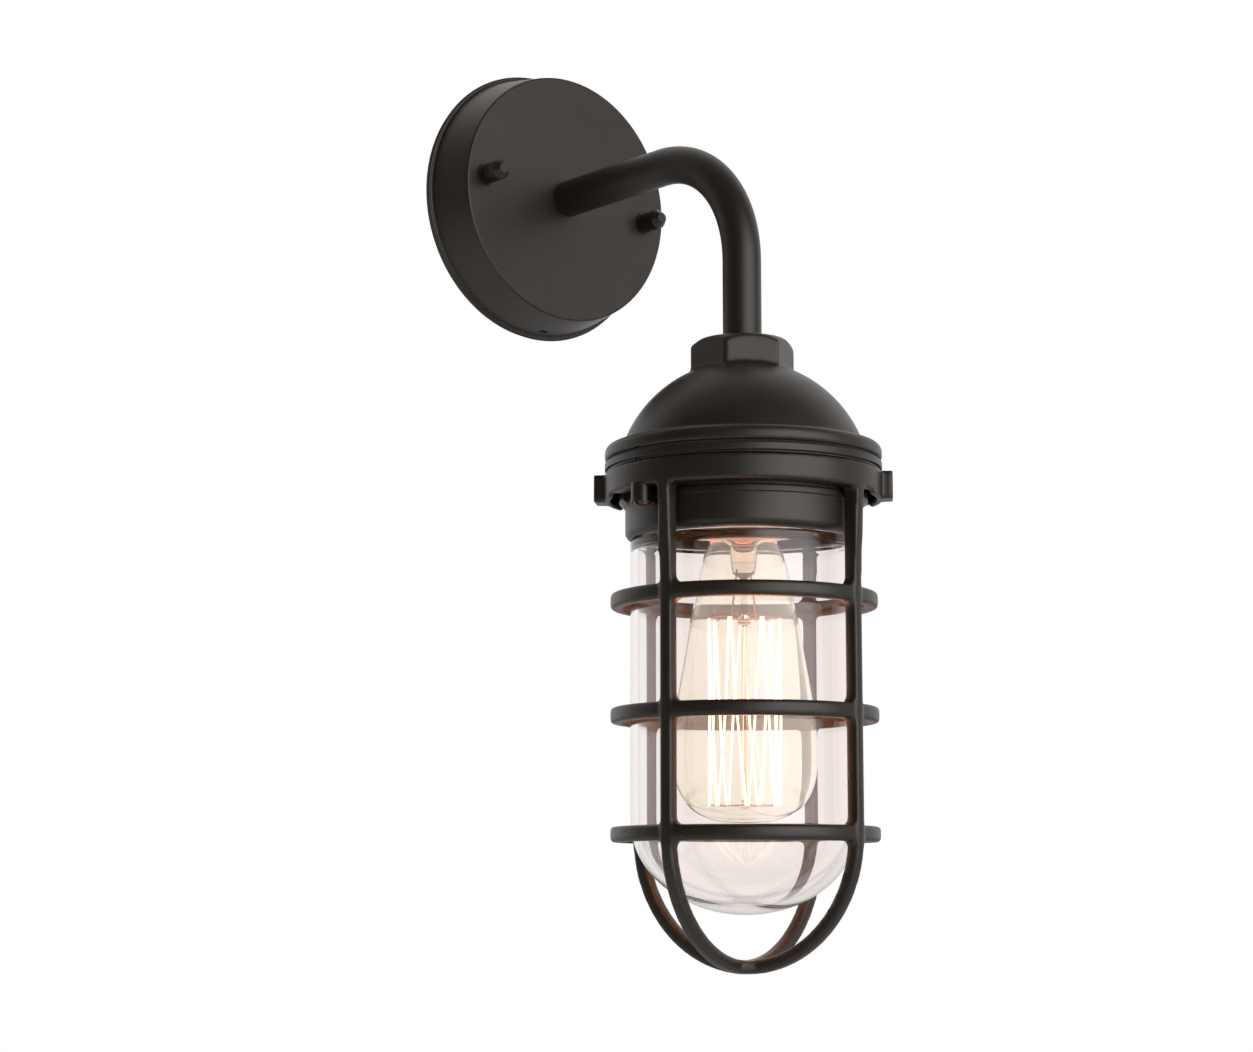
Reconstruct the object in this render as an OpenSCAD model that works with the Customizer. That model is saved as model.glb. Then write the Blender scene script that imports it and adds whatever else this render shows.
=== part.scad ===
// Cage wall light: a round wall plate, a bent tube arm, a domed lamp head, and a
// screw-in glass jar inside a cast cage guard, round one screw-base bulb.
// The origin is the middle of the wall gasket's back, on the wall. The light reaches
// out along -Y and its lamp head hangs along -Z. Angles round the lamp head are
// counted from straight ahead (-Y) towards -X.

/* [Wall plate] */
// Diameter over the plate's rim
plate_d = 120.6; // [112:0.1:145]
// Distance of the plate's face from the wall
plate_h = 24.4; // [24:0.1:40]
// Thickness of the pressed sheet
plate_t = 1.5; // [1:0.1:2]
// Width of the flat rim
rim_w = 1.9; // [1:0.1:4]
// How much smaller in radius the face is than the foot of the plate's wall
plate_draft = 3.6; // [0:0.1:6]
// Thickness of the wall gasket
wall_gasket_t = 1.5; // [0.5:0.1:3]

/* [Mounting bracket] */
// Distance between the two mounting studs
stud_pitch = 88.9; // [82:0.1:92]
// How far the line of the studs is turned from level
stud_tilt = 4.74; // [0:0.01:8]
// Diameter of the mounting studs
stud_d = 4; // [3:0.1:5]
// Thickness of each strap
strap_t = 1.6; // [1:0.1:2]
// Width of the strap that is screwed to the box
box_strap_w = 20; // [16:0.5:24]
// Width of the strap that carries the studs
stud_strap_w = 16; // [12:0.5:18]
// Smallest distance of the box screws
box_pitch_min = 69.85; // [60:0.05:75]
// Largest distance of the box screws
box_pitch_max = 88.9; // [80:0.05:92]
// Width of the slots for the box screws
box_slot_w = 4.8; // [4:0.1:6]

/* [Cap nuts] */
// Diameter of a cap nut's barrel
cap_nut_d = 8.5; // [7:0.1:10]
// Length of the barrel
cap_nut_l = 8.6; // [6:0.1:12]
// Length of the cone at the tip
cap_nut_tip_l = 2.9; // [1:0.1:4]
// Diameter of the flat tip
cap_nut_tip_d = 4.4; // [2:0.1:6]
// Thickness of the washer under a cap nut
nut_washer_t = 1; // [0.5:0.1:2]

/* [Arm] */
// Diameter of the arm's tube
arm_d = 15.8; // [14:0.1:22]
// Wall thickness of the tube
arm_wall = 1.5; // [1:0.1:1.8]
// Distance of the lamp's axis from the wall
arm_reach = 140; // [120:1:240]
// Radius of the bend, to the middle of the tube
bend_r = 50; // [30:1:62]
// Height of the arm's root over the lower end of the tube
arm_drop = 89.5; // [78:0.5:160]
// Depth of the tube's seat in the hexagonal boss
arm_seat = 6; // [4:0.5:8]

/* [Dome] */
// Outer radius of the dome
dome_r = 51.5; // [43:0.1:70]
// Wall thickness of the dome
dome_t = 3; // [2.5:0.1:4]
// Depth of the dome's centre under the edge of the rim
dome_centre_drop = 10.5; // [8:0.1:14]
// Thickness of the dome's rim
dome_rim_h = 6.3; // [5.5:0.1:8]
// How far the rim stands out from the dome
dome_lip = 4.3; // [4:0.1:8]
// Width over the flats of the hexagonal boss
boss_af = 37.4; // [32:0.1:46]
// Height of the boss over the top of the dome
boss_h = 8.8; // [6:0.1:14]

/* [Glass fitter] */
// Thickness of the gasket between the dome and the fitter
dome_gasket_t = 1; // [0.5:0.1:2]
// Thickness of the fitter's flange
fitter_flange_t = 2.9; // [2.5:0.1:4]
// Length of the collar under the flange
collar_l = 28; // [26:0.1:40]
// How much smaller in radius the collar is than the dome
collar_inset = 3.95; // [3:0.05:5]

/* [Cage guard] */
// Height of the band at the top of the cage
band_h = 10.1; // [9:0.1:14]
// Width of the ribs
rib_w = 5.3; // [4:0.1:8]
// Depth of the ribs, from inside to outside
rib_t = 5.4; // [4:0.1:7]
// Height of the rings
ring_h = 6.1; // [4:0.1:9]
// Height of the lowest ring's top over the centre of the hoops
ring_rise = 3.4; // [3.2:0.1:7]
// Distance from the lowest ring to the middle one
ring_pitch_low = 46.9; // [36:0.1:48]
// Distance from the middle ring to the upper one
ring_pitch_high = 45.6; // [36:0.1:48]
// Radius of the fillets where ribs and rings meet
cage_fillet = 2; // [1:0.1:3]
// Angle of the first rib from straight ahead
rib_angle = 76.2; // [66:0.1:79]
// Width of the crossing under the jar, over its cut corners
crossing_w = 13.5; // [9:0.1:16]
// Angle of the locking lugs from straight ahead
lug_angle = 135; // [130:1:140]
// Diameter of the heads of the cage screws
cage_screw_head_d = 8.9; // [7:0.1:9.2]
// Length of the heads of the cage screws
cage_screw_head_l = 8.6; // [5:0.1:12]
// Diameter of the shanks of the cage screws
cage_screw_d = 4; // [3:0.1:4.4]

/* [Glass jar] */
// Wall thickness of the jar
jar_wall = 3; // [2:0.1:4]
// Length of the straight part of the jar under its shoulder
jar_l = 111.5; // [100:0.5:160]
// Depth of the rounded bottom of the jar
jar_bowl_h = 37; // [30:0.5:44]
// Clear space between the jar and the ribs
jar_gap = 3.3; // [2.5:0.1:4]

/* [Socket and bulb] */
// Outer diameter of the porcelain socket
socket_d = 38; // [36:0.5:44]
// Length of the porcelain socket
socket_l = 45; // [40:0.5:50]
// Largest diameter of the bulb
bulb_d = 57.8; // [45:0.1:62]
// Length of the bulb over its base
bulb_l = 140; // [132:0.5:144]
// Number of filament strands
strands = 14; // [8:2:20]

/* [Hidden] */
$fn = 96;

fit = 0.05;      // a thread or a pin in its hole, on the radius
loose = 0.3;     // pieces that move past each other
seat = 0.1;      // two flat faces of pieces that come apart
eps = 0.01;

// Wall plate
foot_r = plate_d / 2 - rim_w;
face_r = foot_r - plate_draft;
rim_t = plate_t;
face_in = plate_h - plate_t;
nut_pos = [for (s = [-1, 1]) s * stud_pitch / 2];
cap_nut_bore = 8;
strap_front = 2 * strap_t;
stud_nut_t = 3;
eyelet_hole_r = 5.2;
eyelet_r = 7;

// Nipples, washers and nuts of the arm's two ends
nipple_r = 5;
nipple_bore_r = 3.6;
lock_washer_t = 1;
lock_washer_r = 9;
lock_nut_t = 3;
lock_nut_af = 14;
nipple_past = 2;
terminal_t = 0.8;
bushing_l = 10;
tube_in_r = arm_d / 2 - arm_wall;
arm_nut_h = face_in - lock_washer_t - terminal_t - lock_nut_t;
arm_nipple_h = arm_nut_h - nipple_past;

// Heights under the arm's root
tube_end = -arm_drop;
boss_top = tube_end + arm_seat;
dome_top = boss_top - boss_h;
dome_c = dome_top - dome_r;
rim_under = dome_c + dome_centre_drop;
dome_in_r = dome_r - dome_t;
pad_z = dome_c + dome_in_r - 2.7;
flange_r = dome_r + dome_lip;
fitter_top = rim_under - dome_gasket_t;
fitter_under = fitter_top - fitter_flange_t;
seat_lip = 0.9;
seat_z = fitter_under - seat_lip;
collar_r = dome_r - collar_inset;
collar_end = fitter_under - collar_l;

// Cage guard
band_in = collar_r + 0.85;
band_top = seat_z - seat;
band_end = band_top - band_h;
screw_c = collar_r + cage_screw_head_d / 2 + 0.65;
tab_r = band_in + 1.6;
tab_half = 20;
tab_top = seat_z - 9;
tab_side_h = 3.2;
tab_slope_h = 2.7;
bead_out = 0.35;
bead_h = 2.6;
bead_end = fitter_under - 14.9;
pocket_r = band_in + 5;
pocket_half = 22;
skirt_h = 1.5;
skirt_half = 19;
skirt_slope = 6;
lug_out = 4.2;
lug_w = 12;
lug_round = 1.6;
lug_top = band_top - 0.2;
lug_end = band_end - 1.3;
flare_r = flange_r - 0.15;   // the ribs' outside where they join the band
flare_l = 34;                // the length over which they come in from there
sunk = 0.2;                  // how deep a fillet starts inside what it joins
head_recess = 1.4;

// Glass jar
jar_r = collar_r - 2.05;
neck_r = jar_r - 3;
neck_bore = neck_r + 0.9;
web_in = neck_r - 6.5;
glass_gasket_t = 2;
glass_gasket_z = fitter_under - glass_gasket_t;
neck_top = glass_gasket_z - loose;
shoulder_z = collar_end - loose;
jar_side_end = shoulder_z - jar_l;
rib_in = jar_r + jar_gap;
rib_out = rib_in + rib_t;
ring_in = rib_in - 0.9;
ring_out = rib_out - 0.8;
hoop_z = jar_side_end - 5.8;
low_ring_top = hoop_z + ring_rise;
ring_tops = [low_ring_top, low_ring_top + ring_pitch_low,
             low_ring_top + ring_pitch_low + ring_pitch_high];

// Socket and bulb
bracket_t = 1.6;
bracket_w = 12;
bracket_half = 11;
bracket_foot = 7;
bracket_h = 22;
head_nut_top = pad_z - bracket_t - lock_washer_t;
head_nipple_end = head_nut_top - lock_nut_t - nipple_past;
socket_top = pad_z - bracket_h;
socket_end = socket_top - socket_l;
socket_web_z = socket_top - 21;
socket_screw_x = 14.5;
contact_z = socket_web_z + 3.3;
tip_z = contact_z - loose;
base_r = 13.05;
base_top = tip_z - 5;
base_l = 20;
shell_in_r = base_r + 0.55;
shell_t = 0.6;
shell_z = socket_web_z;
shell_hole_r = 9.5;
glass_wall = 0.9;

// Leads
lead_r = 1;
lead_side = 1.9;
lead_low = 1.1;
lead_bend = 6;
lead_tail = 8;
wire_nut_l = 20;

// A place in the wall plate: x across, h out from the wall, turned so that z runs to -Y
module on_wall() { rotate([90, 0, 0]) children(); }

// The line of the two studs, in the wall plate's place
module on_stud_line() { on_wall() rotate([0, 0, -stud_tilt]) children(); }

// The lamp's axis
module on_lamp() { translate([0, -arm_reach, 0]) children(); }

// A direction round the lamp, as an angle from straight ahead towards -X
module towards(angle) { rotate([0, 0, -90 - angle]) children(); }

module tube(r_out, r_in, from, to) {
  difference() {
    translate([0, 0, from]) cylinder(r = r_out, h = to - from);
    translate([0, 0, from - 1]) cylinder(r = r_in, h = to - from + 2);
  }
}

module hex_nut(af, bore_r, from, thick) {
  difference() {
    translate([0, 0, from]) cylinder(d = af / cos(30), h = thick, $fn = 6);
    translate([0, 0, from - 1]) cylinder(r = bore_r, h = thick + 2);
  }
}

// A rectangle with round corners, made of squares and circles
module round_rect(x0, x1, y0, y1, e) {
  translate([x0 + e, y0]) square([x1 - x0 - 2 * e, y1 - y0]);
  translate([x0, y0 + e]) square([x1 - x0, y1 - y0 - 2 * e]);
  for (x = [x0 + e, x1 - e], y = [y0 + e, y1 - e]) translate([x, y]) circle(r = e, $fn = 32);
}

// A curve through points that are given by hand, in steps between each two
function bend_at(p0, p1, p2, p3, t) =
  0.5 * (2 * p1 + (p2 - p0) * t + (2 * p0 - 5 * p1 + 4 * p2 - p3) * t * t
         + (3 * p1 - p0 - 3 * p2 + p3) * t * t * t);
function smooth(p, steps) = [
  for (i = [0 : len(p) - 2], s = [0 : steps - 1])
    bend_at(p[max(i - 1, 0)], p[i], p[i + 1], p[min(i + 2, len(p) - 1)], s / steps),
  p[len(p) - 1]
];

// ---- Wall plate and bracket ----

module wall_gasket() color("#222222") on_wall()
  tube(plate_d / 2 - 0.8, face_r - plate_t - 0.5, 0, wall_gasket_t);

module wall_plate() color("#35312e") difference() {
  on_wall() rotate_extrude() polygon([
    [face_r - plate_t, wall_gasket_t], [plate_d / 2, wall_gasket_t],
    [plate_d / 2, wall_gasket_t + rim_t], [foot_r, wall_gasket_t + rim_t],
    [face_r, plate_h], [0, plate_h], [0, face_in], [face_r - plate_t, face_in],
    [foot_r - plate_t - 0.4, wall_gasket_t + rim_t], [face_r - plate_t, wall_gasket_t + rim_t]
  ]);
  on_wall() translate([0, 0, face_in - 1]) cylinder(r = nipple_r + 0.2, h = plate_t + 2);
  on_wall() translate([0, 0, -eps])
    cylinder(r = foot_r - plate_t - 0.4, h = wall_gasket_t + rim_t + 2 * eps);
  on_stud_line() for (x = nut_pos)
    translate([x, 0, face_in - 1]) cylinder(r = stud_d / 2 + loose, h = plate_t + 2);
  // Weep slot in the lowest part of the wall
  translate([-3, -8.6, -foot_r - 1]) cube([4, 2.2, 6]);
}

module box_strap() color("#b9bcbe") on_wall() difference() {
  translate([-box_strap_w / 2, -box_pitch_max / 2 - 6, 0])
    cube([box_strap_w, box_pitch_max + 12, strap_t]);
  translate([0, 0, -1]) cylinder(r = eyelet_r + fit, h = strap_t + 2);
  for (s = [-1, 1]) box_slot(s);
  translate([0, ground_z, -1]) cylinder(r = stud_d / 2 + fit, h = strap_t + 2);
}

// One slot, from the nearest to the farthest place of its box screw
module box_slot(side) {
  near = side * box_pitch_min / 2;
  far = side * box_pitch_max / 2;
  for (y = [near, far]) translate([0, y, -1]) cylinder(d = box_slot_w, h = strap_t + 2);
  translate([-box_slot_w / 2, min(near, far), -1])
    cube([box_slot_w, abs(far - near), strap_t + 2]);
}

module stud_strap() color("#c4c7c9") on_stud_line() difference() {
  translate([-stud_pitch / 2 - 6, -stud_strap_w / 2, strap_t])
    cube([stud_pitch + 12, stud_strap_w, strap_t]);
  translate([0, 0, strap_t - 1]) cylinder(r = eyelet_r + fit, h = strap_t + 2);
  for (x = nut_pos) translate([x, 0, strap_t - 1])
    cylinder(r = stud_d / 2 + fit, h = strap_t + 2);
}

module strap_eyelet() color("#a9a191") on_wall() {
  tube(eyelet_r, eyelet_hole_r, 0, strap_front);
  tube(eyelet_r + 1.8, eyelet_hole_r, strap_front, strap_front + 0.8);
}

module mounting_studs() color("#b9bcbe") on_stud_line() for (x = nut_pos)
  translate([x, 0, strap_t]) cylinder(d = stud_d, h = plate_h + nut_washer_t + 6.5 - strap_t);

module stud_nuts() color("#b9bcbe") on_stud_line() for (x = nut_pos)
  translate([x, 0, 0]) hex_nut(7, stud_d / 2 + fit, strap_front, stud_nut_t);

module nut_washers() color("#2d2a28") on_stud_line() for (x = nut_pos)
  translate([x, 0, 0]) tube(5, stud_d / 2 + 0.2, plate_h, plate_h + nut_washer_t);

// A cap nut on the stud of one side
module cap_nut(x) {
  foot = plate_h + nut_washer_t + seat;
  on_stud_line() translate([x, 0, foot]) difference() {
    rotate_extrude() polygon([
      [0, 0], [cap_nut_d / 2 - 0.3, 0], [cap_nut_d / 2, 0.3], [cap_nut_d / 2, cap_nut_l],
      [cap_nut_tip_d / 2, cap_nut_l + cap_nut_tip_l], [0, cap_nut_l + cap_nut_tip_l]
    ]);
    translate([0, 0, -1]) cylinder(r = stud_d / 2 + fit, h = cap_nut_bore + 1);
  }
}

module cap_nut_left() color("#2f2c2a") cap_nut(nut_pos[0]);

module cap_nut_right() color("#2f2c2a") cap_nut(nut_pos[1]);

// ---- Earth and wiring in the wall plate ----

ground_z = 16;
ring_r = 4.2;
barrel_r = 1.6;
barrel_l = 5;
ground_low = strap_t + barrel_r;
arm_terminal_h = face_in - lock_washer_t - terminal_t;
ground_high = arm_terminal_h + terminal_t - barrel_r;
ground_far = ground_z + ring_r + barrel_l;

module ground_screw() color("#3f7d4a") on_wall() translate([0, ground_z, 0]) difference() {
  union() {
    cylinder(d = stud_d, h = strap_t + terminal_t + 1);
    translate([0, 0, strap_t + terminal_t]) cylinder(r = 3.9, h = 2.6);
  }
  translate([-4.5, -0.5, strap_t + terminal_t + 1.6]) cube([9, 1, 2]);
}

module ground_terminals() color("#c9b26a") on_wall() {
  difference() {
    union() {
      translate([0, ground_z, strap_t]) cylinder(r = ring_r, h = terminal_t);
      translate([-1.5, ground_z + 3, strap_t]) cube([3, ring_r - 2, terminal_t]);
      barrel(ground_z + ring_r, ground_low);
    }
    translate([0, ground_z, strap_t - 1]) cylinder(r = stud_d / 2 + 0.1, h = terminal_t + 2);
  }
  difference() {
    union() {
      translate([0, 0, arm_terminal_h]) cylinder(r = lock_washer_r, h = terminal_t);
      translate([-1.5, 0, arm_terminal_h]) cube([3, lock_washer_r + 2, terminal_t]);
      barrel(lock_washer_r + 1, ground_high);
    }
    translate([0, 0, arm_terminal_h - 1]) cylinder(r = nipple_r + fit, h = terminal_t + 2);
  }
}

// The crimp barrel of a ring terminal, with its wire's end in its far face
module barrel(from, height) {
  translate([0, from, height]) rotate([-90, 0, 0]) cylinder(r = barrel_r, h = barrel_l);
}

// Out of one terminal, round in a half circle, and back into the other
module ground_wire() color("#4f8f3f") on_wall() {
  turn_r = (ground_high - ground_low) / 2;
  arm_end = lock_washer_r + 1 + barrel_l;
  translate([0, arm_end, ground_high]) rotate([-90, 0, 0])
    cylinder(r = lead_r, h = ground_far - arm_end + eps);
  translate([0, ground_far, (ground_high + ground_low) / 2]) rotate([0, 90, 0])
    difference() {
      rotate_extrude() translate([turn_r, 0]) circle(r = lead_r, $fn = 32);
      translate([-turn_r - 2, -turn_r - 2, -2]) cube([2 * turn_r + 4, turn_r + 2, 4]);
    }
}

// The black and white leads: out of the arm's nipple, round to the side, to a wire nut
module lead_tail_at_plate(side) {
  translate([side * lead_side, -arm_nipple_h, -lead_low]) {
    translate([side * lead_bend, 0, 0]) rotate([0, 0, side > 0 ? 90 : 0])
      rotate_extrude(angle = 90) translate([lead_bend, 0]) circle(r = lead_r, $fn = 32);
    translate([side * lead_bend, lead_bend, 0]) rotate([0, side * 90, 0])
      cylinder(r = lead_r, h = lead_tail);
  }
}

module wire_nuts() color("#c98a3a") for (side = [-1, 1])
  translate([side * (lead_side + lead_bend + lead_tail), lead_bend - arm_nipple_h, -lead_low])
  rotate([0, side * 90, 0]) {
    cylinder(r1 = 5.5, r2 = 5.2, h = 6);
    translate([0, 0, 6]) cylinder(r1 = 4.7, r2 = 3.4, h = wire_nut_l - 6);
  }

// One lead: tail, straight run in the tube, bend and run down to the socket
module lamp_lead(side) {
  corner_y = -(arm_reach - bend_r);
  lead_bend_r = bend_r - lead_low;
  lead_end = socket_top - 4;
  lead_tail_at_plate(side);
  translate([side * lead_side, -arm_nipple_h, -lead_low]) rotate([90, 0, 0])
    cylinder(r = lead_r, h = -corner_y - arm_nipple_h);
  translate([side * lead_side, corner_y, -bend_r]) rotate([0, -90, 0]) rotate([0, 0, -90])
    rotate_extrude(angle = 90) translate([lead_bend_r, 0]) circle(r = lead_r, $fn = 32);
  translate([side * lead_side, corner_y - lead_bend_r, lead_end])
    cylinder(r = lead_r, h = -bend_r - lead_end);
}

module lamp_lead_black() color("#1c1c1c") lamp_lead(-1);

module lamp_lead_white() color("#e8e6df") lamp_lead(1);

// ---- Arm ----

module arm_path_solid(r) {
  corner_y = -(arm_reach - bend_r);
  translate([0, -plate_h, 0]) rotate([90, 0, 0]) cylinder(r = r, h = -corner_y - plate_h);
  translate([0, corner_y, -bend_r]) rotate([0, -90, 0]) rotate([0, 0, -90])
    rotate_extrude(angle = 90) translate([bend_r, 0]) circle(r = r);
  translate([0, -arm_reach, tube_end]) cylinder(r = r, h = -bend_r - tube_end);
}

module arm_tube() color("#35312e") difference() {
  arm_path_solid(arm_d / 2);
  arm_path_solid(tube_in_r);
  on_wall() translate([0, 0, plate_h - 1]) cylinder(r = tube_in_r, h = 2);
  on_lamp() translate([0, 0, tube_end - 1]) cylinder(r = tube_in_r, h = 2);
}

module arm_bushings() color("#9c9890") {
  on_wall() tube(tube_in_r - fit, nipple_r + fit, plate_h, plate_h + bushing_l);
  on_lamp() tube(tube_in_r - fit, nipple_r + fit, tube_end, tube_end + bushing_l);
}

module arm_nipple() color("#b59a55") on_wall()
  tube(nipple_r, nipple_bore_r, arm_nipple_h, plate_h + bushing_l - 1);

module arm_lock_washer() color("#b9bcbe") on_wall()
  tube(lock_washer_r, nipple_r + fit, face_in - lock_washer_t, face_in);

module arm_lock_nut() color("#b59a55") on_wall()
  hex_nut(lock_nut_af, nipple_r + fit, arm_nut_h, lock_nut_t);

// ---- Lamp head ----

// The hexagonal boss, with its corners turned off at the top
module boss() intersection() {
  rotate([0, 0, 30]) translate([0, 0, pad_z])
    cylinder(d = boss_af / cos(30), h = boss_top - pad_z, $fn = 6);
  rotate_extrude() polygon([
    [0, pad_z - 1], [boss_af, pad_z - 1], [boss_af, boss_top - 3 - boss_af / 2 * 0.6],
    [boss_af / 2 / cos(30), boss_top - 3], [boss_af / 2 - 1.2, boss_top], [0, boss_top]
  ]);
}

module dome() color("#35312e") on_lamp() difference() {
  union() {
    boss();
    rotate_extrude() difference() {
      union() {
        intersection() {
          translate([0, dome_c]) circle(r = dome_r, $fn = 180);
          translate([0, rim_under]) square([dome_r, dome_r]);
        }
        translate([0, rim_under]) square([flange_r, dome_rim_h - 3]);
        translate([0, rim_under]) square([flange_r - 3, dome_rim_h]);
        translate([flange_r - 3, rim_under + dome_rim_h - 3]) circle(r = 3, $fn = 48);
      }
      translate([0, dome_c]) circle(r = dome_in_r, $fn = 180);
    }
    translate([0, 0, pad_z]) cylinder(r = 12, h = dome_top - pad_z - 1);
  }
  translate([0, 0, tube_end]) cylinder(r = arm_d / 2 + 0.1, h = arm_seat + 1);
  translate([0, 0, pad_z - 1]) cylinder(r = nipple_r + 0.2, h = tube_end - pad_z + 2);
  for (a = [-90, 90]) towards(a) translate([screw_c, 0, rim_under - 1])
    cylinder(r = cage_screw_d / 2 + fit, h = dome_rim_h);
  for (a = [0, 180]) towards(a) translate([fitter_screw_c, 0, rim_under - 1])
    cylinder(r = fitter_screw_r + fit, h = dome_rim_h);
}

module head_nipple() color("#b59a55") on_lamp()
  tube(nipple_r, nipple_bore_r, head_nipple_end, tube_end + bushing_l - 1);

module head_lock_washer() color("#b9bcbe") on_lamp()
  tube(lock_washer_r, nipple_r + fit, head_nut_top, head_nut_top + lock_washer_t);

module head_lock_nut() color("#b59a55") on_lamp()
  hex_nut(lock_nut_af, nipple_r + fit, head_nut_top - lock_nut_t, lock_nut_t);

fitter_screw_r = 1.75;
fitter_screw_c = band_in + 3.2;

module dome_gasket() color("#1f1f1f") on_lamp() difference() {
  tube(flange_r - 0.8, dome_in_r - 1.5, fitter_top, rim_under);
  head_screw_holes(fitter_top, dome_gasket_t);
}

// The holes of both pairs of screws through a flat ring
module head_screw_holes(from, thick) {
  for (a = [-90, 90]) towards(a) translate([screw_c, 0, from - 1])
    cylinder(r = cage_screw_d / 2 + loose, h = thick + 2);
  for (a = [0, 180]) towards(a) translate([fitter_screw_c, 0, from - 1])
    cylinder(r = fitter_screw_r + 0.1, h = thick + 2);
}

module glass_fitter() color("#35312e") on_lamp() difference() {
  union() {
    tube(flange_r, web_in, fitter_under, fitter_top);
    tube(flange_r - 1.2, web_in, seat_z, fitter_under + eps);
    rotate_extrude() difference() {
      union() {
        translate([neck_bore, collar_end + 3])
          square([collar_r - neck_bore, collar_l - 3 + eps]);
        translate([neck_bore, collar_end]) square([collar_r - 3 - neck_bore, 4]);
        translate([collar_r - 3, collar_end + 3]) circle(r = 3, $fn = 48);
        translate([neck_bore, bead_end]) square([collar_r + bead_out - neck_bore, bead_h]);
      }
      translate([neck_bore - 10, collar_end - 1]) square([10, collar_l]);
    }
    for (a = [lug_angle, lug_angle - 180]) towards(a) rotate([0, 0, -tab_half])
      rotate_extrude(angle = 2 * tab_half) polygon([
        [collar_r - 1, tab_top], [tab_r, tab_top], [tab_r, tab_top - tab_side_h],
        [collar_r - 1, tab_top - tab_side_h - tab_slope_h]
      ]);
  }
  translate([0, 0, glass_gasket_z]) cylinder(r = neck_bore, h = glass_gasket_t + eps);
  head_screw_holes(seat_z, fitter_flange_t + seat_lip);
  for (a = [0, 180]) towards(a) translate([fitter_screw_c, 0, seat_z - eps])
    cylinder(r1 = fitter_screw_r + 1.2, r2 = fitter_screw_r, h = 1.2);
}

module fitter_screws() color("#8f8b86") on_lamp() for (a = [0, 180]) towards(a)
  translate([fitter_screw_c, 0, seat_z]) difference() {
    union() {
      cylinder(r1 = fitter_screw_r + 1.1, r2 = fitter_screw_r, h = 1.1);
      cylinder(r = fitter_screw_r, h = rim_under + dome_rim_h - 2 - seat_z);
    }
    translate([-3.5, -0.4, -1]) cube([7, 0.8, 1.6]);
  }

// ---- Cage guard ----

// One rib, from the band down to the hoops, widest where it joins the band
module rib() {
  rotate([90, 0, 0]) translate([0, 0, -rib_w / 2]) linear_extrude(rib_w) polygon([
    [rib_in, hoop_z], [rib_out, hoop_z], [rib_out, band_end - flare_l], [flare_r, band_end],
    [flare_r, band_end + 3], [rib_in, band_end + 3]
  ]);
}

module hoop() {
  rotate([90, 0, 0]) translate([0, hoop_z, -rib_w / 2]) linear_extrude(rib_w)
    intersection() {
      difference() {
        circle(r = rib_out);
        circle(r = rib_in);
      }
      translate([-rib_out - 1, -rib_out - 1]) square([2 * rib_out + 2, rib_out + 1 + eps]);
    }
}

module ring(top) {
  rotate_extrude() round_rect(ring_in, ring_out, top - ring_h, top, 1.2);
}

// The fillets on both sides of a rib, over (0) or under (1) a level face
module rib_fillets(level, under) {
  for (side = [0, 1])
    translate([rib_in + sunk, 0, level]) mirror([0, side, 0]) mirror([0, 0, under])
      translate([0, rib_w / 2 - sunk, -sunk]) difference() {
        cube([rib_t - 1.6, cage_fillet + sunk, cage_fillet + sunk]);
        translate([-1, cage_fillet + sunk / 2, cage_fillet + sunk / 2]) rotate([0, 90, 0])
          cylinder(r = cage_fillet, h = rib_t + 2, $fn = 32);
      }
}

// The four cut corners where the two hoops cross
module crossing() intersection() {
  translate([0, 0, hoop_z]) difference() {
    sphere(r = rib_out - 0.1);
    sphere(r = rib_in + 0.1);
  }
  rotate([0, 0, 45]) translate([-crossing_w / 2, -crossing_w / 2, hoop_z - rib_out])
    cube([crossing_w, crossing_w, 2 * rib_t]);
}

// A locking lug: a flat-sided block outside the band, over a skirt with slanted ends
module lug() {
  rotate([90, 0, 0]) translate([0, 0, -lug_w / 2]) linear_extrude(lug_w)
    round_rect(pocket_r + 1, flange_r + lug_out, lug_end, lug_top, lug_round);
  intersection() {
    tube(flange_r - 0.1, band_in + 0.6, band_end - skirt_h, band_end + 2);
    translate([40, 0, 0]) rotate([90, 0, 90]) linear_extrude(30) polygon([
      [-skirt_half - skirt_slope, band_end + 1], [-skirt_half, band_end - skirt_h],
      [skirt_half, band_end - skirt_h], [skirt_half + skirt_slope, band_end + 1]
    ]);
  }
}

module cage_guard() color("#35312e") on_lamp() difference() {
  union() {
    difference() {
      union() {
        tube(flange_r, band_in, band_end, band_top);
        for (a = [lug_angle, lug_angle - 180]) towards(a) lug();
      }
      for (a = [lug_angle, lug_angle - 180]) towards(a) rotate([0, 0, -pocket_half])
        rotate_extrude(angle = 2 * pocket_half)
        translate([band_in - 1, band_end - skirt_h - 1])
        square([pocket_r - band_in + 1, band_h + skirt_h + 2]);
    }
    for (k = [0 : 3]) towards(rib_angle + 90 * k) {
      rib();
      rib_fillets(band_end, 1);
      for (top = ring_tops) {
        rib_fillets(top, 0);
        rib_fillets(top - ring_h, 1);
      }
    }
    for (k = [0, 1]) towards(rib_angle + 90 * k) hoop();
    towards(rib_angle) crossing();
    for (top = ring_tops) ring(top);
  }
  for (a = [-90, 90]) towards(a) translate([screw_c, 0, band_end - 1]) {
    cylinder(r = cage_screw_d / 2 + 0.2, h = band_h + 2);
    cylinder(r = cage_screw_head_d / 2 + 0.4, h = 1 + head_recess);
  }
}

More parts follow.
